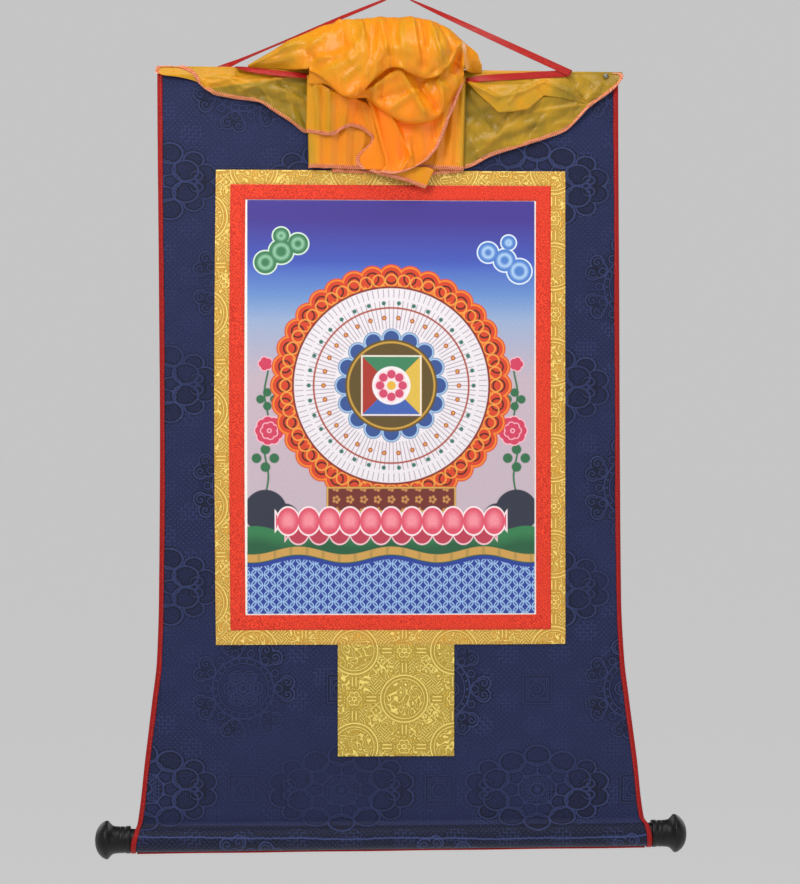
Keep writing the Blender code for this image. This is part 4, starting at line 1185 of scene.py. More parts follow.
def laid(name, corners, cell, thickness, look, slot, node):
    """A flat piece sewn on the mount, its turned edges rounded and drawn in by the seam."""
    (ax, az), (bx, bz), (cx, cz), (dx, dz) = corners
    across, down = abs(bx - ax) + abs(cx - dx), abs(dz - az) + abs(cz - bz)
    us, vs = stops(across / 2, cell, 1.0), stops(down / 2, cell, 1.0)
    u, v = np.meshgrid(us, vs)
    x = (1 - v) * ((1 - u) * ax + u * bx) + v * ((1 - u) * dx + u * cx)
    z = (1 - v) * ((1 - u) * az + u * bz) + v * ((1 - u) * dz + u * cz)
    inward = np.minimum(np.minimum(u, 1 - u) * across / 2, np.minimum(v, 1 - v) * down / 2)
    sunk = EDGE_SOFT * bell(inward, 0.9)
    puckered = EDGE_PUCKER * bell(inward - 2.0, 1.6)
    ripple = puckered * np.sin((x + z) / 1.9 + 1.4 * np.sin((x - z) / 13))
    middle = 0.12 * mottled(x, z, 11, 60) * eased((inward - 3) / 8)
    x = bowed(x, z)
    y = wave(x, z) - PANEL / 2 - GAP
    grid = np.stack([x, y + sunk + ripple + middle, z], 2)
    piece = thicken(sheets(name, [grid], level=True), thickness, 1.0, False)
    finished(piece, look, slot, node)
    points = np.array(corners) * MM
    after = np.roll(points, -1, axis=0)
    area = abs((points[:, 0] * after[:, 1] - points[:, 1] * after[:, 0]).sum()) / 2
    size = np.ptp(points, axis=0)
    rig.sheet(
        piece, flat=(size[0], size[1]), held="laid", rests_on=["mount_cloth"], area=float(area)
    )
    return piece


def inside_frame(inset, narrower=0.0):
    """Corners of the frame, less an inset: top left and right, bottom right and left."""
    left, right, top, bottom = FRAME
    left, right = left + inset + narrower, right - inset - narrower
    top, bottom = top - inset, bottom + inset
    return (left, top), (right, top), (right, bottom), (left, bottom)


def make_border(kind, inset, thickness, look, slot):
    """Four mitred strips, with a hair's breadth between them and what lies inside."""
    near, far = inset + GAP / 2, inset + BORDER - GAP / 2
    mitre = GAP * 0.3
    outer, inner = inside_frame(near), inside_frame(far)
    outer_short, inner_short = inside_frame(near, mitre), inside_frame(far, mitre)
    strips = {
        "top": (outer_short[0], outer_short[1], inner_short[1], inner_short[0]),
        "bottom": (inner_short[3], inner_short[2], outer_short[2], outer_short[3]),
        "left": (outer[0], inner[0], inner[3], outer[3]),
        "right": (inner[1], outer[1], outer[2], inner[2]),
    }
    for where, corners in strips.items():
        laid(f"{kind}_strip_{where}", corners, 2.6, thickness, look, slot, f"{kind}_border_{where}")


# ---- ribbons --------------------------------------------------------------------------------
def make_ribbon(name, route, look, node, width):
    """A flat tape on a route, turned about it; returns the piece and its middle in metres."""
    line = through(route, RIBBON_CUTS)
    middle, turn = line[:, :3], np.radians(line[:, 3])
    run = unit(np.gradient(middle, axis=0))
    deep = unit(np.array([0.0, 1.0, 0.0]) - run * run[:, 1:2])
    upright = np.cross(run, deep)
    upright *= np.sign(upright[:, 2:3] + 1e-9)
    wide = deep * np.cos(turn)[:, None] + upright * np.sin(turn)[:, None]
    out = np.cross(run, wide)
    at = run_of(middle)
    rows = []
    for place in RIBBON_SECTION:
        curl = 0.28 * np.sin(at / 23 + place) * (1 - 4 * place**2)
        rows.append(middle + wide * width * place + out * curl[:, None])
    grid = np.stack(rows, 1)
    points, faces = grid.reshape(-1, 3), grid_faces(*grid.shape[:2])
    across, down = np.meshgrid(np.linspace(0, width, len(rows)), at)
    uvs = np.stack([down, across], 2).reshape(-1, 2)
    piece = thicken(mesh_piece(name, points, faces, uvs), RIBBON_T)
    finished(piece, look, "ribbon", node)
    return piece, (middle * MM).tolist()


# ---- threads --------------------------------------------------------------------------------
def threads(name, paths, radius, look, slot, sides=6):
    """Many short threads as one mesh; each path is a list of points."""
    many, long = paths.shape[:2]
    run = unit(np.gradient(paths, axis=1))
    # Any fixed way does that no thread runs along.
    up = unit(np.cross(run, np.array([0.31, 0.17, 0.94])))
    over = np.cross(run, up)
    angle = np.linspace(0, 2 * np.pi, sides, endpoint=False)
    ring = up[:, :, None] * np.cos(angle)[:, None] + over[:, :, None] * np.sin(angle)[:, None]
    taper = np.ones(long)
    taper[[0, -1]] = 0.5
    points = paths[:, :, None] + ring * radius * taper[:, None, None]
    j = np.arange(sides)
    after = (j + 1) % sides
    step = np.arange(long - 1)[:, None] * sides
    wall = np.stack([step + j, step + after, step + sides + after, step + sides + j], 2)
    start = (np.arange(many) * long * sides)[:, None, None]
    faces = (start + wall.reshape(1, -1, 4)).reshape(-1, 4).tolist()
    faces += (start[:, :, 0] + j[::-1]).tolist()
    faces += (start[:, :, 0] + (long - 1) * sides + j).tolist()
    return finished(mesh_piece(name, points.reshape(-1, 3), faces), look, slot)


def stitch_paths(line, pitch, length, lift):
    """Short threads lying along a line, each going down into the cloth at its two ends."""
    at = spaced(line, int(run_of(line)[-1] / pitch) + 1)
    run = unit(np.diff(at, axis=0))
    middle = (at[1:] + at[:-1]) / 2
    along_it = np.array([-0.5, -0.34, 0.0, 0.34, 0.5]) * length
    rise = np.array([0.5, -0.6, -1.0, -0.6, 0.5]) * lift
    paths = middle[:, None] + run[:, None] * along_it[:, None]
    paths[..., 1] += rise
    return paths


def serge_paths(edge, inward, shift):
    """Overlock stitches round a cloth's edge: each leg slants from the edge to the needle line.

    Inward says for each point of the edge which way the cloth lies; shift moves the legs
    along, so that a second thread lies between those of the first.
    """
    both = np.hstack([np.asarray(edge, float), np.asarray(inward, float)])
    count = max(2, int(run_of(edge)[-1] / SERGE_PITCH))
    at = spaced(both, 8 * count + 1)
    first = int(8 * shift)
    here = at[first : 8 * count : 8]
    ahead = at[np.minimum(np.arange(first, 8 * count, 8) + 8, 8 * count), :3]
    here, into, run = here[:, :3], here[:, 3:], ahead - here[:, :3]
    into = unit(into)
    legs = []
    for u, v, up in SERGE_LEG:
        legs.append(here + run * u + into * SERGE_WIDTH * v - np.array([0, up, 0]))
    return np.stack(legs, 1)


# ---- veil -----------------------------------------------------------------------------------
def folds(x, z, table, sharp=False):
    """How far the folds of a table push the cloth forward at a place."""
    pushed = 0.0 * x
    for x0, z0, x1, z1, half, height in table:
        run = np.array([x1 - x0, z1 - z0])
        long = np.hypot(*run)
        u = ((x - x0) * run[0] + (z - z0) * run[1]) / long**2
        off = ((x - x0) * run[1] - (z - z0) * run[0]) / long
        end = eased(u / 0.25 + 0.6) * eased((1 - u) / 0.25 + 0.6)
        pushed = pushed + height * end * (ridge if sharp else bell)(off, half)
    return pushed


def creases(seed, count, area, lean, spread):
    """Rows for a table of folds: small creases strewn over an area, most of them one way."""
    rng = np.random.default_rng(seed)
    x0, x1, z0, z1 = area
    rows = []
    for _ in range(count):
        x, z = rng.uniform(x0, x1), rng.uniform(z0, z1)
        turn, long = math.radians(lean + rng.uniform(-spread, spread)), rng.uniform(14, 46)
        dx, dz = math.cos(turn) * long, math.sin(turn) * long
        height = rng.uniform(0.4, 1.2) * rng.choice((-1, 1))
        rows.append((x - dx / 2, z - dz / 2, x + dx / 2, z + dz / 2, rng.uniform(1.7, 3.2), height))
    return tuple(rows)


# The thin silk's small creases; those of the tables lie among them.
SWAG_SHARP = (
    SWAG_CREASES
    + creases(81, 26, (-200, -96, -112, -84), 155, 35)
    + creases(82, 46, (70, 215, -165, -88), 25, 40)
)
PUFF_SHARP = (
    PUFF_CREASES
    + creases(83, 22, (-86, 62, -64, -30), 84, 30)
    + creases(84, 14, (-80, 60, -122, -84), 60, 60)
)


def swag_y(x, z):
    """How far in front the swags hang, with their folds."""
    depth = top_edge(x) - z
    far, over, freer = SWAG_CORNER
    corner = eased((np.abs(x - CENTRE_X) - far) / over)
    pinned = np.exp(-((x - TACK[0]) ** 2 + (z - TACK[1]) ** 2) / TACK_PULL**2)
    hang = (SWAG_HANG + freer * corner) * (1 - pinned)
    flat = -PANEL / 2 - GAP - SILK / 2 - hang * eased(depth / 9)
    pushed = folds(x, z, FOLDS) + SWAG_CRISP * folds(x, z, SWAG_SHARP, True)
    pushed = pushed + 0.35 * mottled(x, z, 21, 22) - 0.7 * np.abs(mottled(x, z, 22, 17))
    return flat - np.maximum(pushed, -1.5) * eased((depth - 6) / 6) * (1 - pinned)


def swag_grid():
    xs = np.linspace(SWAG[0][0], SWAG[-1][0], SWAG_CELLS[0])
    low, high = along(xs, SWAG), top_edge(xs) + 0.4
    rows = []
    for v in np.linspace(0, 1, SWAG_CELLS[1]):
        zs = high + (low - high) * v
        rows.append(np.stack([xs, swag_y(xs, zs), zs], 1))
    return np.array(rows)


def puff_section(x, falls):
    """The cloth's route at one x: up from the top edge, over the puff and down in front."""
    ridge_y, ridge_z, belly_y, belly_z, brow_z = (along(x, PUFF, i) for i in range(1, 6))
    start = (-0.4, top_edge(x) + BACK_CLEAR)
    rise = (0.35 * ridge_y, start[1] + 0.62 * (ridge_z - start[1]))
    points = [start, rise, (ridge_y, ridge_z), (belly_y, belly_z)]
    if not falls:
        # Close to the tied part the cloth bulges out over the ribbon instead of lying flat.
        out = eased(1 - (FALL[0][0] - x) / 26) if x < 0 else eased(1 - (x - FALL[-1][0]) / 12)
        flat = float(swag_y(np.array(x), brow_z)) - SILK
        brow_y = FALL[0][1] if x < 0 else FALL[-1][1]
        return points + [(flat + (brow_y - flat) * out, brow_z)]
    brow_y, lip_y, lip_z, tuck_y, tuck_z, roll_y, roll_z = (along(x, FALL, i) for i in range(1, 8))
    face = ((tuck_y + roll_y) / 2 - 1.6, (tuck_z + roll_z) / 2)
    points += [(brow_y, brow_z), (lip_y, lip_z), (tuck_y, tuck_z), face, (roll_y, roll_z)]
    waist_z = min(roll_z + 2.0, -95.0)
    return points + [((roll_y + WAIST_Y) / 2 - 0.6, min(roll_z - 4.0, -93.0)), (WAIST_Y, waist_z)]


def puff_grid():
    """The puff, from the top edge of the mount over its ridge and down to the waist."""
    left, low, high, right = PUFF[0][0], FALL[0][0], FALL[-1][0], PUFF[-1][0]
    on_left, between, on_right = PUFF_CELLS
    xs = np.concatenate([
        np.linspace(left, low - PUFF_STEP, on_left),
        np.linspace(low, high, between),
        np.linspace(high + PUFF_STEP, right, on_right),
    ])
    falls = (xs >= low) & (xs <= high)
    ridged, brow, waist = 2, 4, 10  # points of the section, counted from the top edge
    cuts = PUFF_CUTS
    grid = np.zeros((waist * cuts + 1, len(xs), 3))
    for c, x in enumerate(xs):
        route = through(puff_section(x, falls[c]), cuts)
        grid[: len(route), c, 1:] = route
        grid[len(route) :, c, 1:] = route[-1]
        grid[:, c, 0] = x
    for r in range(1, len(grid)):
        x, z, at = grid[r, :, 0], grid[r, :, 2], r / cuts
        whole = eased(at - 0.8) * eased((8.7 - at) / 1.2)
        ends = np.where(falls, 1.0, eased((brow - at) / 1.2) if at < brow else 0.0)
        pushed = folds(x, z, PUFF_FOLDS) + PUFF_CRISP * folds(x, z, PUFF_SHARP, True)
        crumple = 0.9 * mottled(x, 0.6 * z, 31, 24) - 2.2 * np.abs(mottled(x, 0.45 * z, 32, 19))
        grid[r, :, 1] -= whole * ends * (pushed + crumple)
        # Over the ridge the folds lift the cloth as well.
        top = np.exp(-((at - ridged) ** 2) / 0.5) * ends
        grid[r, :, 2] += top * np.clip(0.35 * pushed + 0.5 * crumple, -2.5, 2.5)
    keep = np.ones((len(grid) - 1, len(xs) - 1), bool)
    keep[brow * cuts :] = (falls[:-1] & falls[1:])[None]
    return grid, keep


def ruled(root, edge, rows, columns, table, swell, seed):
    """A sheet between two lines, swelling a little to the front, with a table's folds."""
    a, b = spaced(root, columns), spaced(edge, columns)
    grid = np.array([a + (b - a) * v for v in np.linspace(0, 1, rows)])
    v = np.linspace(0, 1, rows)[:, None]
    x, z = grid[..., 0], grid[..., 2]
    pushed = TAIL_CRISP * folds(x, z, table, True) + swell * np.sin(np.pi * v)
    pushed = pushed + 0.3 * mottled(x, z, seed, 16)
    grid[..., 1] -= pushed * eased(v / 0.1 + 0.2)
    return grid


def band_grid():
    xs = np.linspace(BAND[0][0], BAND[-1][0], BAND_CELLS[0])
    top_y, foot_y, foot_z = (along(xs, BAND, i) for i in (1, 2, 3))
    rows = []
    for v in np.linspace(0, 1, BAND_CELLS[1]):
        zs = BAND_TOP + (foot_z - BAND_TOP) * v
        pushed = 0.0 * xs
        for above, below, half, height in BAND_PLEATS:
            at = above + (below - above) * v
            pushed += height * ridge(xs - at, half)
        lean = 0.02 * (xs + 12) * (1 - v)
        # Its two sides are folded round to the back.
        near = np.minimum(xs - BAND[0][0], BAND[-1][0] - xs)
        round_it = 1.6 * np.exp(-near / 0.9)
        ys = top_y + (foot_y - top_y) * eased(v) - pushed * eased(v * 3) + round_it
        rows.append(np.stack([xs + lean, ys, zs + 0.3 * mottled(xs, zs, 51, 30) * v], 1))
    return np.array(rows)


def flap_grid():
    grid = ruled(*RULED["flap"])
    rows, columns = (np.linspace(0, 1, count) for count in grid.shape[:2])
    foot = columns[None] ** 6 * np.sin(np.pi * rows)[:, None]
    grid[..., 2] -= FLAP_FOOT_SAG * foot
    # The folded left side turns round to the back.
    grid[:3, :, 1] += np.array([1.6, 0.7, 0.2])[:, None]
    return grid


def over_grid():
    """The upper layer of the right swag, folded over: the last rows turn under the fold."""
    grid = ruled(*RULED["over"])
    rest = swag_y(grid[..., 0], grid[..., 2]) - SILK - 0.4
    grid[..., 1] = np.minimum(grid[..., 1], rest)
    turned_rows = []
    last = grid[-1]
    run = unit(last - grid[-4])
    for out, back in OVER_TURN:
        row = last + run * out
        row[:, 1] = np.minimum(last[:, 1] + back, rest[-1] + 0.2)
        turned_rows.append(row)
    return np.concatenate([grid, np.array(turned_rows)])


def hem_grids():
    out = []
    for left, right, y, top, low_left, low_right in UNDER_HEMS:
        xs = np.linspace(left, right, HEM_CELLS[0])
        rows = []
        for v in np.linspace(0, 1, HEM_CELLS[1]):
            zs = top + (low_left + (low_right - low_left) * (xs - left) / (right - left) - top) * v
            ys = y - 0.5 * mottled(xs, 0 * zs, 61, 9) * (0.4 + v)
            rows.append(np.stack([xs, ys, zs], 1))
        out.append(np.array(rows))
    return out


def bunched_grids():
    """The rest of the cloth, rolled up inside the puff in two looser turns."""
    out = []
    xs = np.linspace(FALL[0][0] + 5, FALL[-1][0] - 5, BUNCHED_CELLS)
    for scale in BUNCHED:
        columns = []
        for x in xs:
            route = through(puff_section(x, True)[1:], 3)
            middle = route.mean(axis=0)
            columns.append(middle + (route - middle) * scale + np.array([BUNCHED_BACK, 0.0]))
        grid = np.zeros((len(columns[0]), len(xs), 3))
        grid[..., 0] = xs
        grid[..., 1:] = np.array(columns).transpose(1, 0, 2)
        out.append(grid)
    return out


def veil_grids():
    puff, keep = puff_grid()
    grids = {"swag": swag_grid(), "puff": puff, "band": band_grid()}
    grids |= {"cross": ruled(*RULED["cross"]), "flap": flap_grid()}
    grids |= {"tip": ruled(*RULED["tip"]), "over": over_grid()}
    for i, hem in enumerate(hem_grids()):
        grids[f"hem{i}"] = hem
    for i, turn in enumerate(bunched_grids()):
        grids[f"bunched{i}"] = turn
    return grids, keep


def veil_tint(name, grid):
    """How many layers lie behind each point, 0 for one layer over the navy and 1 for many, with painted light and
    shade from the folds' heights added.
    """
    x, z = grid[..., 0], grid[..., 2]
    if name == "swag":
        # Two layers lie above a slanting fold on the left, and close to the top edge.
        fold_z = np.interp(x, column(SWAG_FOLD, 0), column(SWAG_FOLD, 1))
        doubled = eased((z - fold_z) / 1.2 + 0.5) * (x < -80)
        near_top = bell(top_edge(x) - z, 8) * eased((176 - x) / 20)
        right = 0.1 * bell(x - 150, 60)
        # Painted light and shade: the tint follows the heights of the sharp creases.
        raised = 0.05 * np.clip(folds(x, z, SWAG_SHARP, True), -2, 2)
        layers = 0.3 * np.maximum(doubled, near_top)
        return 0.05 + layers + right + raised + 0.1 * mottled(x, z, 71, 30)
    if name == "puff":
        low = eased((-88 - z) / 30)
        pushed = folds(x, z, PUFF_FOLDS) + 1.5 * folds(x, z, PUFF_SHARP, True)
        deep = 0.62 + 0.14 * low + 0.14 * mottled(x, 0.5 * z, 72, 24) - 0.2 * eased((-70 - x) / 70)
        # Painted shade deepens the tint in the folds' hollows, and painted highlight pales it on their ridges.
        return deep - 0.035 * np.clip(pushed, -4, 4)
    if name == "band":
        side_in = eased((x + 92) / 16) * eased((68 - x) / 14)
        return 0.28 + 0.42 * side_in
    if name == "cross":
        # The last term is painted shade in the folds' hollows and painted highlight on their ridges.
        return 0.46 + 0.4 * eased((x + 80) / 40) - 0.07 * folds(x, z, CROSS_FOLDS, True)
    if name == "flap":
        paler = 0.34 * eased((x - 28) / 30) + 0.1 * eased((-165 - z) / 15)
        # The last term is painted shade in the folds' hollows and painted highlight on their ridges.
        return 0.94 - paler - 0.06 * folds(x, z, FLAP_FOLDS, True)
    if name == "over":
        return 0.3 - 0.2 * eased((x - 150) / 24) + 0.16 * mottled(x, z, 73, 30)
    return 0.55 + 0.0 * x


def make_veil(look, thickness):
    grids, puff_keep = veil_grids()
    tints = [veil_tint(name, grid) for name, grid in grids.items()]
    keeps = [puff_keep if name == "puff" else None for name in grids]
    cloth = thicken(sheets("veil_cloth", grids.values(), tints, keeps), thickness, 0.0, False)
    return finished(cloth, look, "veil_silk", "veil"), grids


def make_serging(grids, look, pale, radius):
    """Overlock stitching along the veil's edges, in two threads."""
    swag, cross, flap, tip = (grids[key] for key in ("swag", "cross", "flap", "tip"))

    def on_swag(points):
        x, z = column(points, 0), column(points, 1)
        return np.stack([x, swag_y(x, z) - SILK, z], 1)

    # Each edge goes with the way that leads into the cloth at each of its points.
    start = on_swag(SERGE_START)
    edges = [(start, np.tile([1.0, 0.0, 0.7], (len(start), 1)))]
    for line in map(on_swag, CORNERS):
        edges.append((line, (np.array(CORNERS_MEET) - line) * np.array([1.0, 0.0, 1.0])))
    low_x = swag[-1][:, 0]
    for part in ((low_x > SERGE_START[-1][0]) & (low_x < CROSS_START), low_x > SERGE_AGAIN):
        edges.append((swag[-1][part], swag[-5][part] - swag[-1][part]))
    for edge, inner in ((cross[-1], cross[-5]), (flap[-1], flap[-5]), (tip[-1], tip[-4])):
        edges.append((edge, inner - edge))
    for key in ("band", "flap", "hem0", "hem1"):
        edge = flap[:, -1] if key == "flap" else grids[key][-1]
        inner = flap[:, -4] if key == "flap" else edge + np.array([0.0, 0.0, 1.0])
        edges.append((edge, inner - edge))
    made = []
    for name, thread, shift in (("veil_serging", look, 0.0), ("veil_serging_pale", pale, 0.5)):
        paths = np.concatenate([serge_paths(edge, inward, shift) for edge, inward in edges])
        made.append(threads(name, paths, radius, thread, "veil_silk"))
    return made


# ---- seams ----------------------------------------------------------------------------------
def front_line(ends, thickness):
    """Points on the face of what is sewn to the mount, between two corners."""
    (ax, az), (bx, bz) = ends
    t = np.linspace(0, 1, 120)
    x, z = ax + (bx - ax) * t, az + (bz - az) * t
    x = bowed(x, z)
    return np.stack([x, wave(x, z) - PANEL / 2 - GAP - thickness, z], 1)


def sewn(corners, thickness):
    """Stitches on straight lines from each corner to the next."""
    lines = [front_line(ends, thickness) for ends in zip(corners, corners[1:])]
    return np.concatenate([stitch_paths(line, *SEAM, 0.2) for line in lines])


def sewn_round(inset, thickness):
    corners = inside_frame(inset)
    return sewn(corners + corners[:1], thickness)


def make_seams(red, gold, navy):
    left, right, low = DOOR[0] + SEAM_IN, DOOR[1] - SEAM_IN, DOOR[2] + SEAM_IN
    door = sewn(((left, FRAME[3]), (left, low), (right, low), (right, FRAME[3])), DOOR_T)
    paths = [sewn_round(1.7, GOLD_T), sewn_round(BORDER - SEAM_IN, GOLD_T), door]
    threads("gold_seams", np.concatenate(paths), 0.17, gold, "gold_brocade")
    paths = [sewn_round(BORDER + SEAM_IN, RED_T), sewn_round(2 * BORDER - SEAM_IN, RED_T)]
    threads("red_seams", np.concatenate(paths), 0.17, red, "red_silk")
    z = np.linspace(TOP_Z - 4, STITCH_Z + 1, 400)
    rows = []
    for index, out in ((1, -1), (2, 1)):
        x = side(z, BIND_WALL / 2, index) - out * (BIND_FACE - BIND_WALL / 2) * 0.7
        y = wave(side(z, BIND_WALL / 2, index), z) - PANEL / 2 - GAP - BIND_WALL - 0.02
        rows.append(stitch_paths(np.stack([x, y, z], 1), BIND_PITCH, 2.3, 0.22))
    threads("binding_seams", np.concatenate(rows), 0.18, red, "red_binding")
    xs = np.linspace(side(STITCH_Z, BIND_FACE + 1, 1), side(STITCH_Z, BIND_FACE + 1, 2), 200)
    line = np.stack([xs, 0 * xs - CLOTH / 2 + 0.4, STITCH_Z + roller_line(xs)], 1)
    threads("roller_seam", stitch_paths(line, *SEAM, 0.3), 0.2, navy, "navy_brocade")


# ---- roller ---------------------------------------------------------------------------------
def make_finial(name, way, look, node):
    """One turned finial, extruded ring by ring from the bottom of its socket to its tip."""
    tilt = math.atan2(ROLLER_RISE, SPAN)
    axis = Vector((math.cos(tilt), 0.0, math.sin(tilt)))
    mouth = side(OUTLINE[-1][0], -GAP, 1 if way < 0 else 2)
    start = Vector((CENTRE_X, 0.0, ROLLER_Z)) + axis * (mouth - CENTRE_X)
    bore = DOWEL_R + GAP
    # The neck reaches a little way into the cloth's sleeve, between it and the dowel.
    profile = [(SOCKET, bore), (-NECK, bore), (-NECK, NECK_R), (-0.4, NECK_R), *FINIAL]
    deselect()
    centre = start + axis * way * SOCKET
    bpy.ops.mesh.primitive_circle_add(
        vertices=FINIAL_SIDES,
        radius=bore * MM,
        fill_type="NGON",
        location=centre * MM,
        rotation=(0.0, math.pi / 2 - tilt, 0.0),
    )
    piece = bpy.context.object
    piece.name = piece.data.name = name
    bpy.ops.object.mode_set(mode="EDIT")
    bpy.ops.mesh.select_all(action="SELECT")
    for (along_was, was), (along_it, radius) in zip(profile, profile[1:]):
        move = axis * way * (along_it - along_was) * MM
        bpy.ops.mesh.extrude_region_move(TRANSFORM_OT_translate={"value": tuple(move)})
        centre = start + axis * way * along_it
        size = radius / was
        bpy.ops.transform.resize(value=(size, size, size), center_override=tuple(centre * MM))
    bpy.ops.mesh.select_all(action="SELECT")
    bpy.ops.mesh.normals_make_consistent(inside=False)
    bpy.ops.object.mode_set(mode="OBJECT")
    bpy.ops.object.transform_apply(location=True, rotation=True, scale=True)
    bpy.ops.object.shade_smooth_by_angle(angle=math.radians(RIM_ANGLE))
    return finished(piece, look, "black_wood", node)


# ---- print ---------------------------------------------------------------------------------
PRINT_AT = (-7.3, -420.8)  # the middle of the picture
# The print's design: a wheel of petals over a sky, with clouds, peonies, a lotus seat and
# waves. Places are millimetres from the picture's middle.
PRINT_FORMS = (
    # name, formula
    ("v", "y - 22"),
    ("a", "wrap(x, 6.5)"),
    ("b", "wrap(y, 5.5)"),
    ("c", "wrap(x - 6.5, 6.5)"),
    ("d", "wrap(y - 5.5, 5.5)"),
    ("scale", "max(line(disc(a, b, 5.6), 1.1), line(disc(c, d, 5.6), 1.1))"),
    ("ground", "-124 - y + 3 * cos(x / 11)"),
    ("shore", "-148 - y + 4 * cos(x / 15)"),
    ("flames", "petals(x, v, 36, 110, 13.5)"),
    ("frill", "petals(x, v, 52, 107, 6)"),
    ("blades", "line(hypot(x, v) * sin(fold(x, v, 110)), 0.8)"),
    ("blues", "petals(x, v, 16, 48, 10)"),
    ("hall", "box(x, v, 31, 31)"),
    ("heart", "petals(x, v, 8, 11.5, 5.6)"),
    ("e", "wrap(x, 10.5)"),
    ("seat", "min(disc(e, (y + 116) * 0.8, 11.5), 118 - abs(x))"),
    ("under", "min(disc(wrap(x - 10.5, 10.5), (y + 126) * 0.8, 11), 108 - abs(x))"),
    ("cloth", "box(x, y + 94, 66, 13)"),
    ("left", "max(disc(x + 112, y - 158, 13), disc(x + 95, y - 166, 11), "
     "disc(x + 128, y - 147, 12), disc(x + 112, y - 174, 9))"),
    ("right", "max(disc(x - 116, y - 150, 12), disc(x - 99, y - 158, 11), "
     "disc(x - 131, y - 139, 13), disc(x - 120, y - 168, 8))"),
    ("roses", "max(petals(abs(x) - 124, y + 24, 9, 9, 6), disc(abs(x) - 124, y + 24, 9))"),
    ("buds", "petals(abs(x) - 128, y - 44, 5, 3.4, 4)"),
)
PRINT = (
    # colour, softness of its edge, formula
    ("79A8D4", 90, "y - 74"),
    ("4059B8", 60, "y - 118"),
    ("40308C", 50, "y - 166"),
    ("3A7B52", 1, "left"),
    ("8FC3A0", 3, "line(left - 6, 3)"),
    ("D6E8D6", 0.6, "line(left, 1.4)"),
    ("4C7CC6", 1, "right"),
    ("A9CBEC", 3, "line(right - 6, 3)"),
    ("DDE8F4", 0.6, "line(right, 1.4)"),
    ("2E6B45", 1, "min(line(abs(x) - 127 - 2 * sin(y / 9), 2), y + 100, 46 - y)"),
    ("2E6B45", 1, "max(petals(abs(x) - 128, y + 52, 4, 9, 5), petals(abs(x) - 126, y - 8, 4, 7, 4.4))"),
    ("CF3A5A", 1, "max(roses, buds)"),
    ("F6B9C6", 0.8, "max(line(roses, 1.1), line(petals(abs(x) - 124, y + 24, 7, 5.4, 3.6), 1), "
     "line(buds, 1))"),
    ("2A2F3F", 1, "max(disc(abs(x) - 128, y + 106, 22), disc(abs(x) - 108, y + 112, 14))"),
    ("2F7A4A", 1, "ground"),
    ("1E5A38", 12, "ground - 12"),
    ("C99A4E", 1, "min(line(shore - 2, 8), sin(x / 2.6) + 1.2)"),
    ("223A93", 1, "shore - 7"),
    ("9DC0E6", 0.8, "min(scale, shore - 11)"),
    ("D43F1E", 1, "max(flames, disc(x, v, 113))"),
    ("F2882C", 1, "line(flames - 2, 1.6)"),
    ("2C0F0C", 1, "line(petals(x, v, 36, 110, 6), 1.6)"),
    ("F0A040", 1, "line(frill, 1.4)"),
    ("7E1D18", 1, "disc(x, v, 101)"),
    ("E9E2E6", 1, "disc(x, v, 99)"),
    ("A596A4", 0.6, "min(blades, disc(x, v, 98), hypot(x, v) - 58)"),
    ("E9E2E6", 1, "line(disc(x, v, 88), 3)"),
    ("A8432C", 1, "line(disc(x, v, 79), 1.8)"),
    ("2F6E5E", 1, "petals(x, v, 34, 84, 2.1)"),
    ("B2452C", 1, "petals(x, v, 30, 69, 2.4)"),
    ("D9B04A", 1, "petals(x, v, 30, 69, 1.1)"),
    ("33508F", 1, "blues"),
    ("A8CBEA", 1, "line(blues - 1.4, 1.4)"),
    ("5E4A1E", 1, "disc(x, v, 47)"),
    ("C79A3E", 1, "line(disc(x, v, 44), 2)"),
    ("A83226", 1, "hall"),
    ("3A7F58", 1, "min(hall, v - abs(x))"),
    ("3E5FAE", 1, "min(hall, 0 - v - abs(x))"),
    ("DDB748", 1, "min(hall, x - abs(v))"),
    ("EFE4D8", 0.8, "line(hall - 1, 1.5)"),
    ("EFE9EA", 1, "disc(x, v, 19.5)"),
    ("CF4668", 1, "heart"),
    ("FBE3E6", 0.8, "line(heart - 0.6, 1.1)"),
    ("E5B23C", 1, "disc(x, v, 4.6)"),
    ("702A22", 1, "cloth"),
    ("C98B4E", 0.8, "min(petals(wrap(x, 7), wrap(y + 94, 6), 5, 2.7, 1.5), cloth - 2)"),
    ("D6A850", 1, "line(cloth - 1, 1.6)"),
    ("B93A50", 1, "under"),
    ("F4C6CE", 0.8, "line(under, 1.2)"),
    ("DC4E66", 1, "seat"),
    ("F08C98", 6, "min(seat - 5, y + 122)"),
    ("FBE6E8", 0.8, "line(seat, 1.3)"),
    ("F2EEE6", 0.6, "max(abs(x) - 146.4, abs(y) - 210.2)"),
)


def print_material():
    """Inkjet print on fine canvas: matt inks, a little uneven, with a thin unprinted edge.

    The canvas has 0.4 mm threads; they are drawn at 1 mm so that they show.
    """
    rules = [*ON_CLOTH, ("x", "x - at_x"), ("y", "y - at_y"), *PRINT_FORMS, ("ink", "'C2AFBA'")]
    for text, soft, rule in PRINT:
        rules.append(("ink", f"mix(min(max(({rule}) / {soft} + 0.5, 0), 1), ink, '{text}')"))
    rules += (
        ("raised", "noise(point, 0.9, 2)"),
        ("speck", "0.74 + raised * 0.52"),
        ("tone", "times(1, ink, grey(speck, speck, speck))"),
    )
    at_x, at_y = PRINT_AT
    return material("printed canvas", rules, {"Roughness": 0.5}, (0.3, 0.2), at_x=at_x, at_y=at_y)


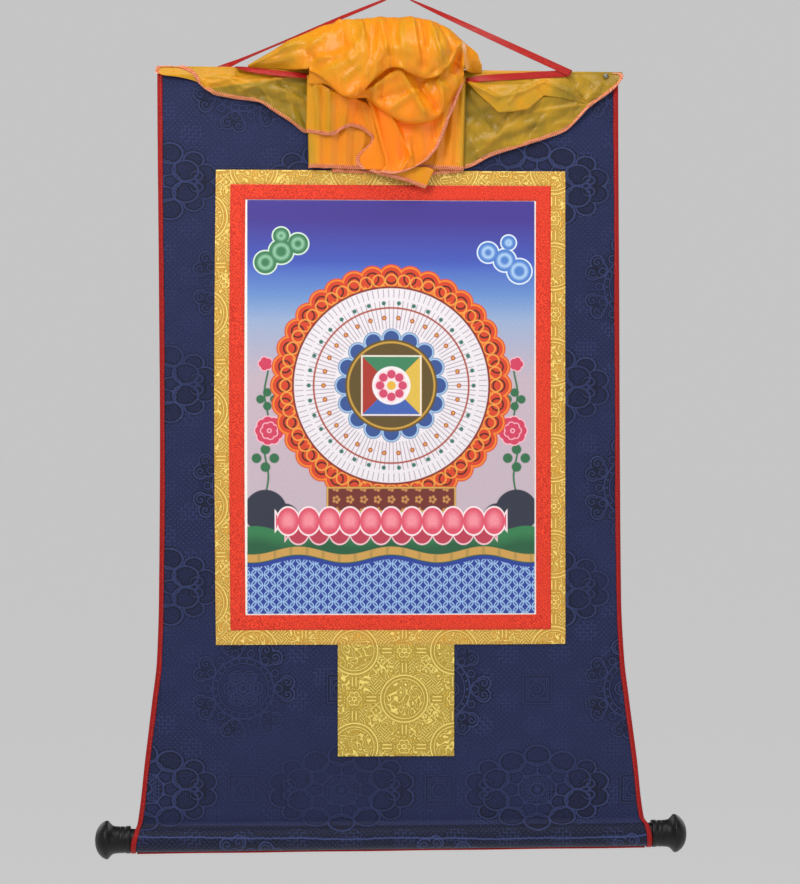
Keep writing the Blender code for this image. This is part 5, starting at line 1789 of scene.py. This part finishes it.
# ---- stage ---------------------------------------------------------------------------------
FLOOR_Z, FLOOR_SIZE = -2.3, 400.0  # metres
FLOOR_GLOW = 0.438  # light of its own, so that the far floor is as pale as the studio behind it
BACKGROUND = "F4F4F4"
WORLD_HIGH, WORLD_LOW = 0.62, 0.14  # strength at the horizon, and overhead
LIGHTS = (
    # name, place, size across and down, power: all aimed at the middle of the scroll
    ("key_light", (-1.3, -1.9, 1.1), 1.0, 0.9, 40.0),
    ("fill_light", (2.0, -2.2, 0.0), 1.6, 1.6, 12.0),
    ("top_light", (0.3, -0.8, 1.5), 1.4, 0.7, 20.0),
    ("left_back_light", (-2.2, 2.2, 0.6), 2.0, 1.8, 22.0),
    ("right_back_light", (2.2, 2.2, 0.4), 2.0, 1.8, 22.0),
)


def make_camera(scene, target):
    yaw = math.radians(YAW)
    data = bpy.data.cameras.new("photo_camera")
    data.lens = data.sensor_width * FOCAL / PHOTO_HEIGHT
    camera = bpy.data.objects.new("photo_camera", data)
    scene.collection.objects.link(camera)
    camera.location = target + Vector((-math.sin(yaw), -math.cos(yaw), 0.0)) * DISTANCE * MM
    camera.rotation_euler = (math.pi / 2, 0.0, -yaw)
    scene.camera = camera


def make_world(scene):
    """Pale round the horizon, and darker overhead, so that the lights model the folds."""
    world = bpy.data.worlds.new("pale studio")
    world.use_nodes = True
    tree = world.node_tree
    level = formula(
        tree,
        "low + (high - low) * min(max(1.9 - 4 * abs(height(sky())), 0), 1)",
        {"low": WORLD_LOW, "high": WORLD_HIGH},
    )
    background = tree.nodes["Background"].inputs
    background["Color"].default_value = colour(BACKGROUND)
    tree.links.new(level, background["Strength"])
    scene.world = world


def make_floor():
    """Matt pale paint, with a little light of its own."""
    bpy.ops.mesh.primitive_plane_add(size=FLOOR_SIZE, location=(0.0, 0.0, FLOOR_Z))
    floor = bpy.context.object
    floor.name = "floor"
    sockets = {
        "Base Color": colour(BACKGROUND),
        "Roughness": 0.9,
        "Specular IOR Level": 0.0,
        "Emission Color": colour(BACKGROUND),
        "Emission Strength": FLOOR_GLOW,
    }
    floor.data.materials.append(material("matt pale floor", (), sockets))
    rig.stage(floor)


def make_lights(scene, target):
    for name, place, across, down, power in LIGHTS:
        data = bpy.data.lights.new(name, "AREA")
        data.shape, data.size, data.size_y, data.energy = "RECTANGLE", across, down, power
        light = bpy.data.objects.new(name, data)
        scene.collection.objects.link(light)
        light.location = place
        light.rotation_euler = (target - light.location).to_track_quat("-Z", "Y").to_euler()


# ---- settings and operators ----------------------------------------------------------------
def size_setting(name, text, start, high):
    limits = {"min": 0.05 * MM, "max": high * MM, "unit": "LENGTH", "precision": 5}
    return bpy.props.FloatProperty(name=name, description=text, default=start * MM, **limits)


def colour_setting(name, text, start):
    limits = {"min": 0.0, "max": 1.0, "subtype": "COLOR"}
    start = colour(start)[:3]
    return bpy.props.FloatVectorProperty(name=name, description=text, default=start, **limits)


class ThangkaSettings(bpy.types.PropertyGroup):
    """Sizes and colours of the scroll that may be changed before it is built"""

    brocade: colour_setting("Brocade", "Ground colour of the mount's brocade", "262E5C")
    gold: colour_setting("Gold border", "Middle colour of the outer border", "F8C248")
    red: colour_setting("Red border", "Colour of the inner border where it catches the light", "FA4A2E")
    tape: colour_setting("Edge tape", "Colour of the tapes round the mount", "A81410")
    ribbon: colour_setting("Ribbons", "Colour of the hanging ribbon and the tie", "C42218")
    wood: colour_setting("Finials", "Colour of the lacquer", "0A0808")
    serging: colour_setting("Serging", "Colour of the thread along the veil's edges", "D9531E")
    ribbon_width: size_setting("Ribbon width", "Width of both ribbons", RIBBON_W, 20.0)
    silk: size_setting("Silk thickness", "Thickness of the veil's cloth", SILK, 2.0)
    thread: size_setting("Serging thread", "Radius of the thread along the veil's edges", THREAD_R, 1.0)


def chosen(tone):
    """A colour setting as a material takes it."""
    return (*tone, 1.0)


class BuildStage(bpy.types.Operator):
    """Builds the pale floor, the lights and the camera"""

    bl_idname = "thangka.stage"
    bl_label = "Stage"

    def execute(self, context):
        scene, target = context.scene, Vector(TARGET) * MM
        scene.view_settings.view_transform = "Standard"
        make_camera(scene, target)
        make_world(scene)
        make_floor()
        make_lights(scene, target)
        return {"FINISHED"}


class BuildRibbons(bpy.types.Operator):
    """Builds the hanging ribbon and the tie ribbon"""

    bl_idname = "thangka.ribbons"
    bl_label = "Ribbons"

    def execute(self, context):
        settings = context.scene.thangka
        look = satin_material("red satin ribbon", chosen(settings.ribbon))
        for name, route, node, lay in (
            ("hanging_ribbon", CORD_ROUTE, "hanging_cord", "taut"),
            ("tied_ribbon", TIE_ROUTE, "tie_ribbon", "hanging"),
        ):
            piece, path = make_ribbon(name, route, look, node, settings.ribbon_width / MM)
            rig.cord(
                piece,
                exit=path[0],
                length=round(float(run_of(path)[-1]), 3),
                diameter=settings.ribbon_width,
                far_end="object",
                stiffness="limp",
                lay=lay,
                path=path,
            )
        return {"FINISHED"}


class BuildMount(bpy.types.Operator):
    """Builds the brocade mount with its red tapes"""

    bl_idname = "thangka.mount"
    bl_label = "Mount"

    def execute(self, context):
        settings = context.scene.thangka
        lining = twill_material("navy cotton lining", colour("222A55"), colour("191F42"), 0.75, 1.0)
        cloth = make_mount(brocade_material(chosen(settings.brocade)), lining)
        red = twill_material("red cotton tape", chosen(settings.tape), colour("840C0A"))
        tapes = [
            make_side_binding("side_binding_left", 1, red),
            make_side_binding("side_binding_right", 2, red),
            make_hem_tape(red),
        ]
        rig.sheet(
            cloth,
            flat=(0.53, 0.86),
            held="hung",
            area=0.42,
            rests_on=["dowel"],
            with_pieces=tapes,
        )
        return {"FINISHED"}


class BuildFrame(bpy.types.Operator):
    """Builds the gold and red borders, the picture and the door panel"""

    bl_idname = "thangka.frame"
    bl_label = "Borders, picture and door"

    def execute(self, context):
        settings = context.scene.thangka
        gold = chosen(settings.gold)
        # The light colour is partly painted highlight on the figure; the deep one is painted shade beside it.
        gold = gold_material("gold border brocade", colour("FFE07C"), gold, colour("A8721C"))
        make_border("gold", 0.0, GOLD_T, gold, "gold_brocade")
        red = twill_material("red silk border", chosen(settings.red), colour("B4261A"), 0.6, 1.2)
        make_border("red", BORDER, RED_T, red, "red_silk")
        opening, canvas = inside_frame(2 * BORDER + GAP / 2), print_material()
        laid("picture", opening, 3.0, PICTURE_T, canvas, "print", "picture_panel")
        left, right, bottom = DOOR
        top = FRAME[3] - GAP
        corners = ((left, top), (right, top), (right, bottom), (left, bottom))
        # As on the border: the light colour is partly painted highlight, the deep one painted shade.
        door = gold_material("gold door brocade", *map(colour, ("FCE47C", "E2BE44", "8E701E")))
        laid("door", corners, 2.0, DOOR_T, door, "gold_brocade", "door_panel")
        return {"FINISHED"}


class BuildRoller(bpy.types.Operator):
    """Builds the turned finials and finishes the dowel and the tack"""

    bl_idname = "thangka.roller"
    bl_label = "Roller"

    def execute(self, context):
        look = lacquer_material(chosen(context.scene.thangka.wood))
        make_finial("finial_turned_left", -1, look, "finial_left")
        make_finial("finial_turned_right", 1, look, "finial_right")
        for node, look in (("dowel", dowel_material()), ("tack", steel_material())):
            for slot in frame["nodes"][node].material_slots:
                slot.material = look
        return {"FINISHED"}


class BuildVeil(bpy.types.Operator):
    """Builds the gathered silk veil with its serged edges"""

    bl_idname = "thangka.veil"
    bl_label = "Veil"

    def execute(self, context):
        settings = context.scene.thangka
        cloth, grids = make_veil(silk_material(), settings.silk / MM)
        orange = thread_material("orange overlock thread", chosen(settings.serging), colour("E8703A"))
        pale = thread_material("peach overlock thread", colour("F0A070"), colour("FFC79A"))
        edging = make_serging(grids, orange, pale, settings.thread / MM)
        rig.sheet(
            cloth,
            flat=(0.45, 0.35),
            held="gathered",
            rests_on=["mount_cloth", "tied_ribbon"],
            with_pieces=edging,
        )
        return {"FINISHED"}


class BuildSeams(bpy.types.Operator):
    """Builds the rows of stitches"""

    bl_idname = "thangka.seams"
    bl_label = "Seams"

    def execute(self, context):
        red = thread_material("red sewing thread", colour("B8281C"), colour("D84A38"))
        gold = thread_material("gold sewing thread", colour("C79A3C"), colour("E6C068"))
        navy = thread_material("navy sewing thread", colour("1C2246"), colour("333B66"))
        make_seams(red, gold, navy)
        return {"FINISHED"}


STEPS = (BuildStage, BuildRibbons, BuildMount, BuildFrame, BuildRoller, BuildVeil, BuildSeams)


class ThangkaPanel(bpy.types.Panel):
    """Lists the settings and the building steps"""

    bl_idname = "VIEW3D_PT_thangka"
    bl_label = "Thangka scroll"
    bl_space_type = "VIEW_3D"
    bl_region_type = "UI"
    bl_category = "Scroll"

    def draw(self, context):
        for name in ThangkaSettings.__annotations__:
            self.layout.prop(context.scene.thangka, name)
        for step in STEPS:
            self.layout.operator(step.bl_idname)


CLASSES = (ThangkaSettings, *STEPS, ThangkaPanel)


def register():
    for one in CLASSES:
        bpy.utils.register_class(one)
    bpy.types.Scene.thangka = bpy.props.PointerProperty(type=ThangkaSettings)


def unregister():
    del bpy.types.Scene.thangka
    for one in reversed(CLASSES):
        bpy.utils.unregister_class(one)


def main():
    register()
    bpy.ops.thangka.stage()
    bpy.ops.thangka.ribbons()
    bpy.ops.thangka.mount()
    bpy.ops.thangka.frame()
    bpy.ops.thangka.roller()
    bpy.ops.thangka.veil()
    bpy.ops.thangka.seams()
    boxes = {"cad": CAD_BOX, "visual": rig.bounds()}
    boxes = {key: [list(map(float, corner)) for corner in box] for key, box in boxes.items()}
    with open("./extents.json", "w") as file:
        json.dump(boxes, file)


if __name__ == "__main__":
    main()
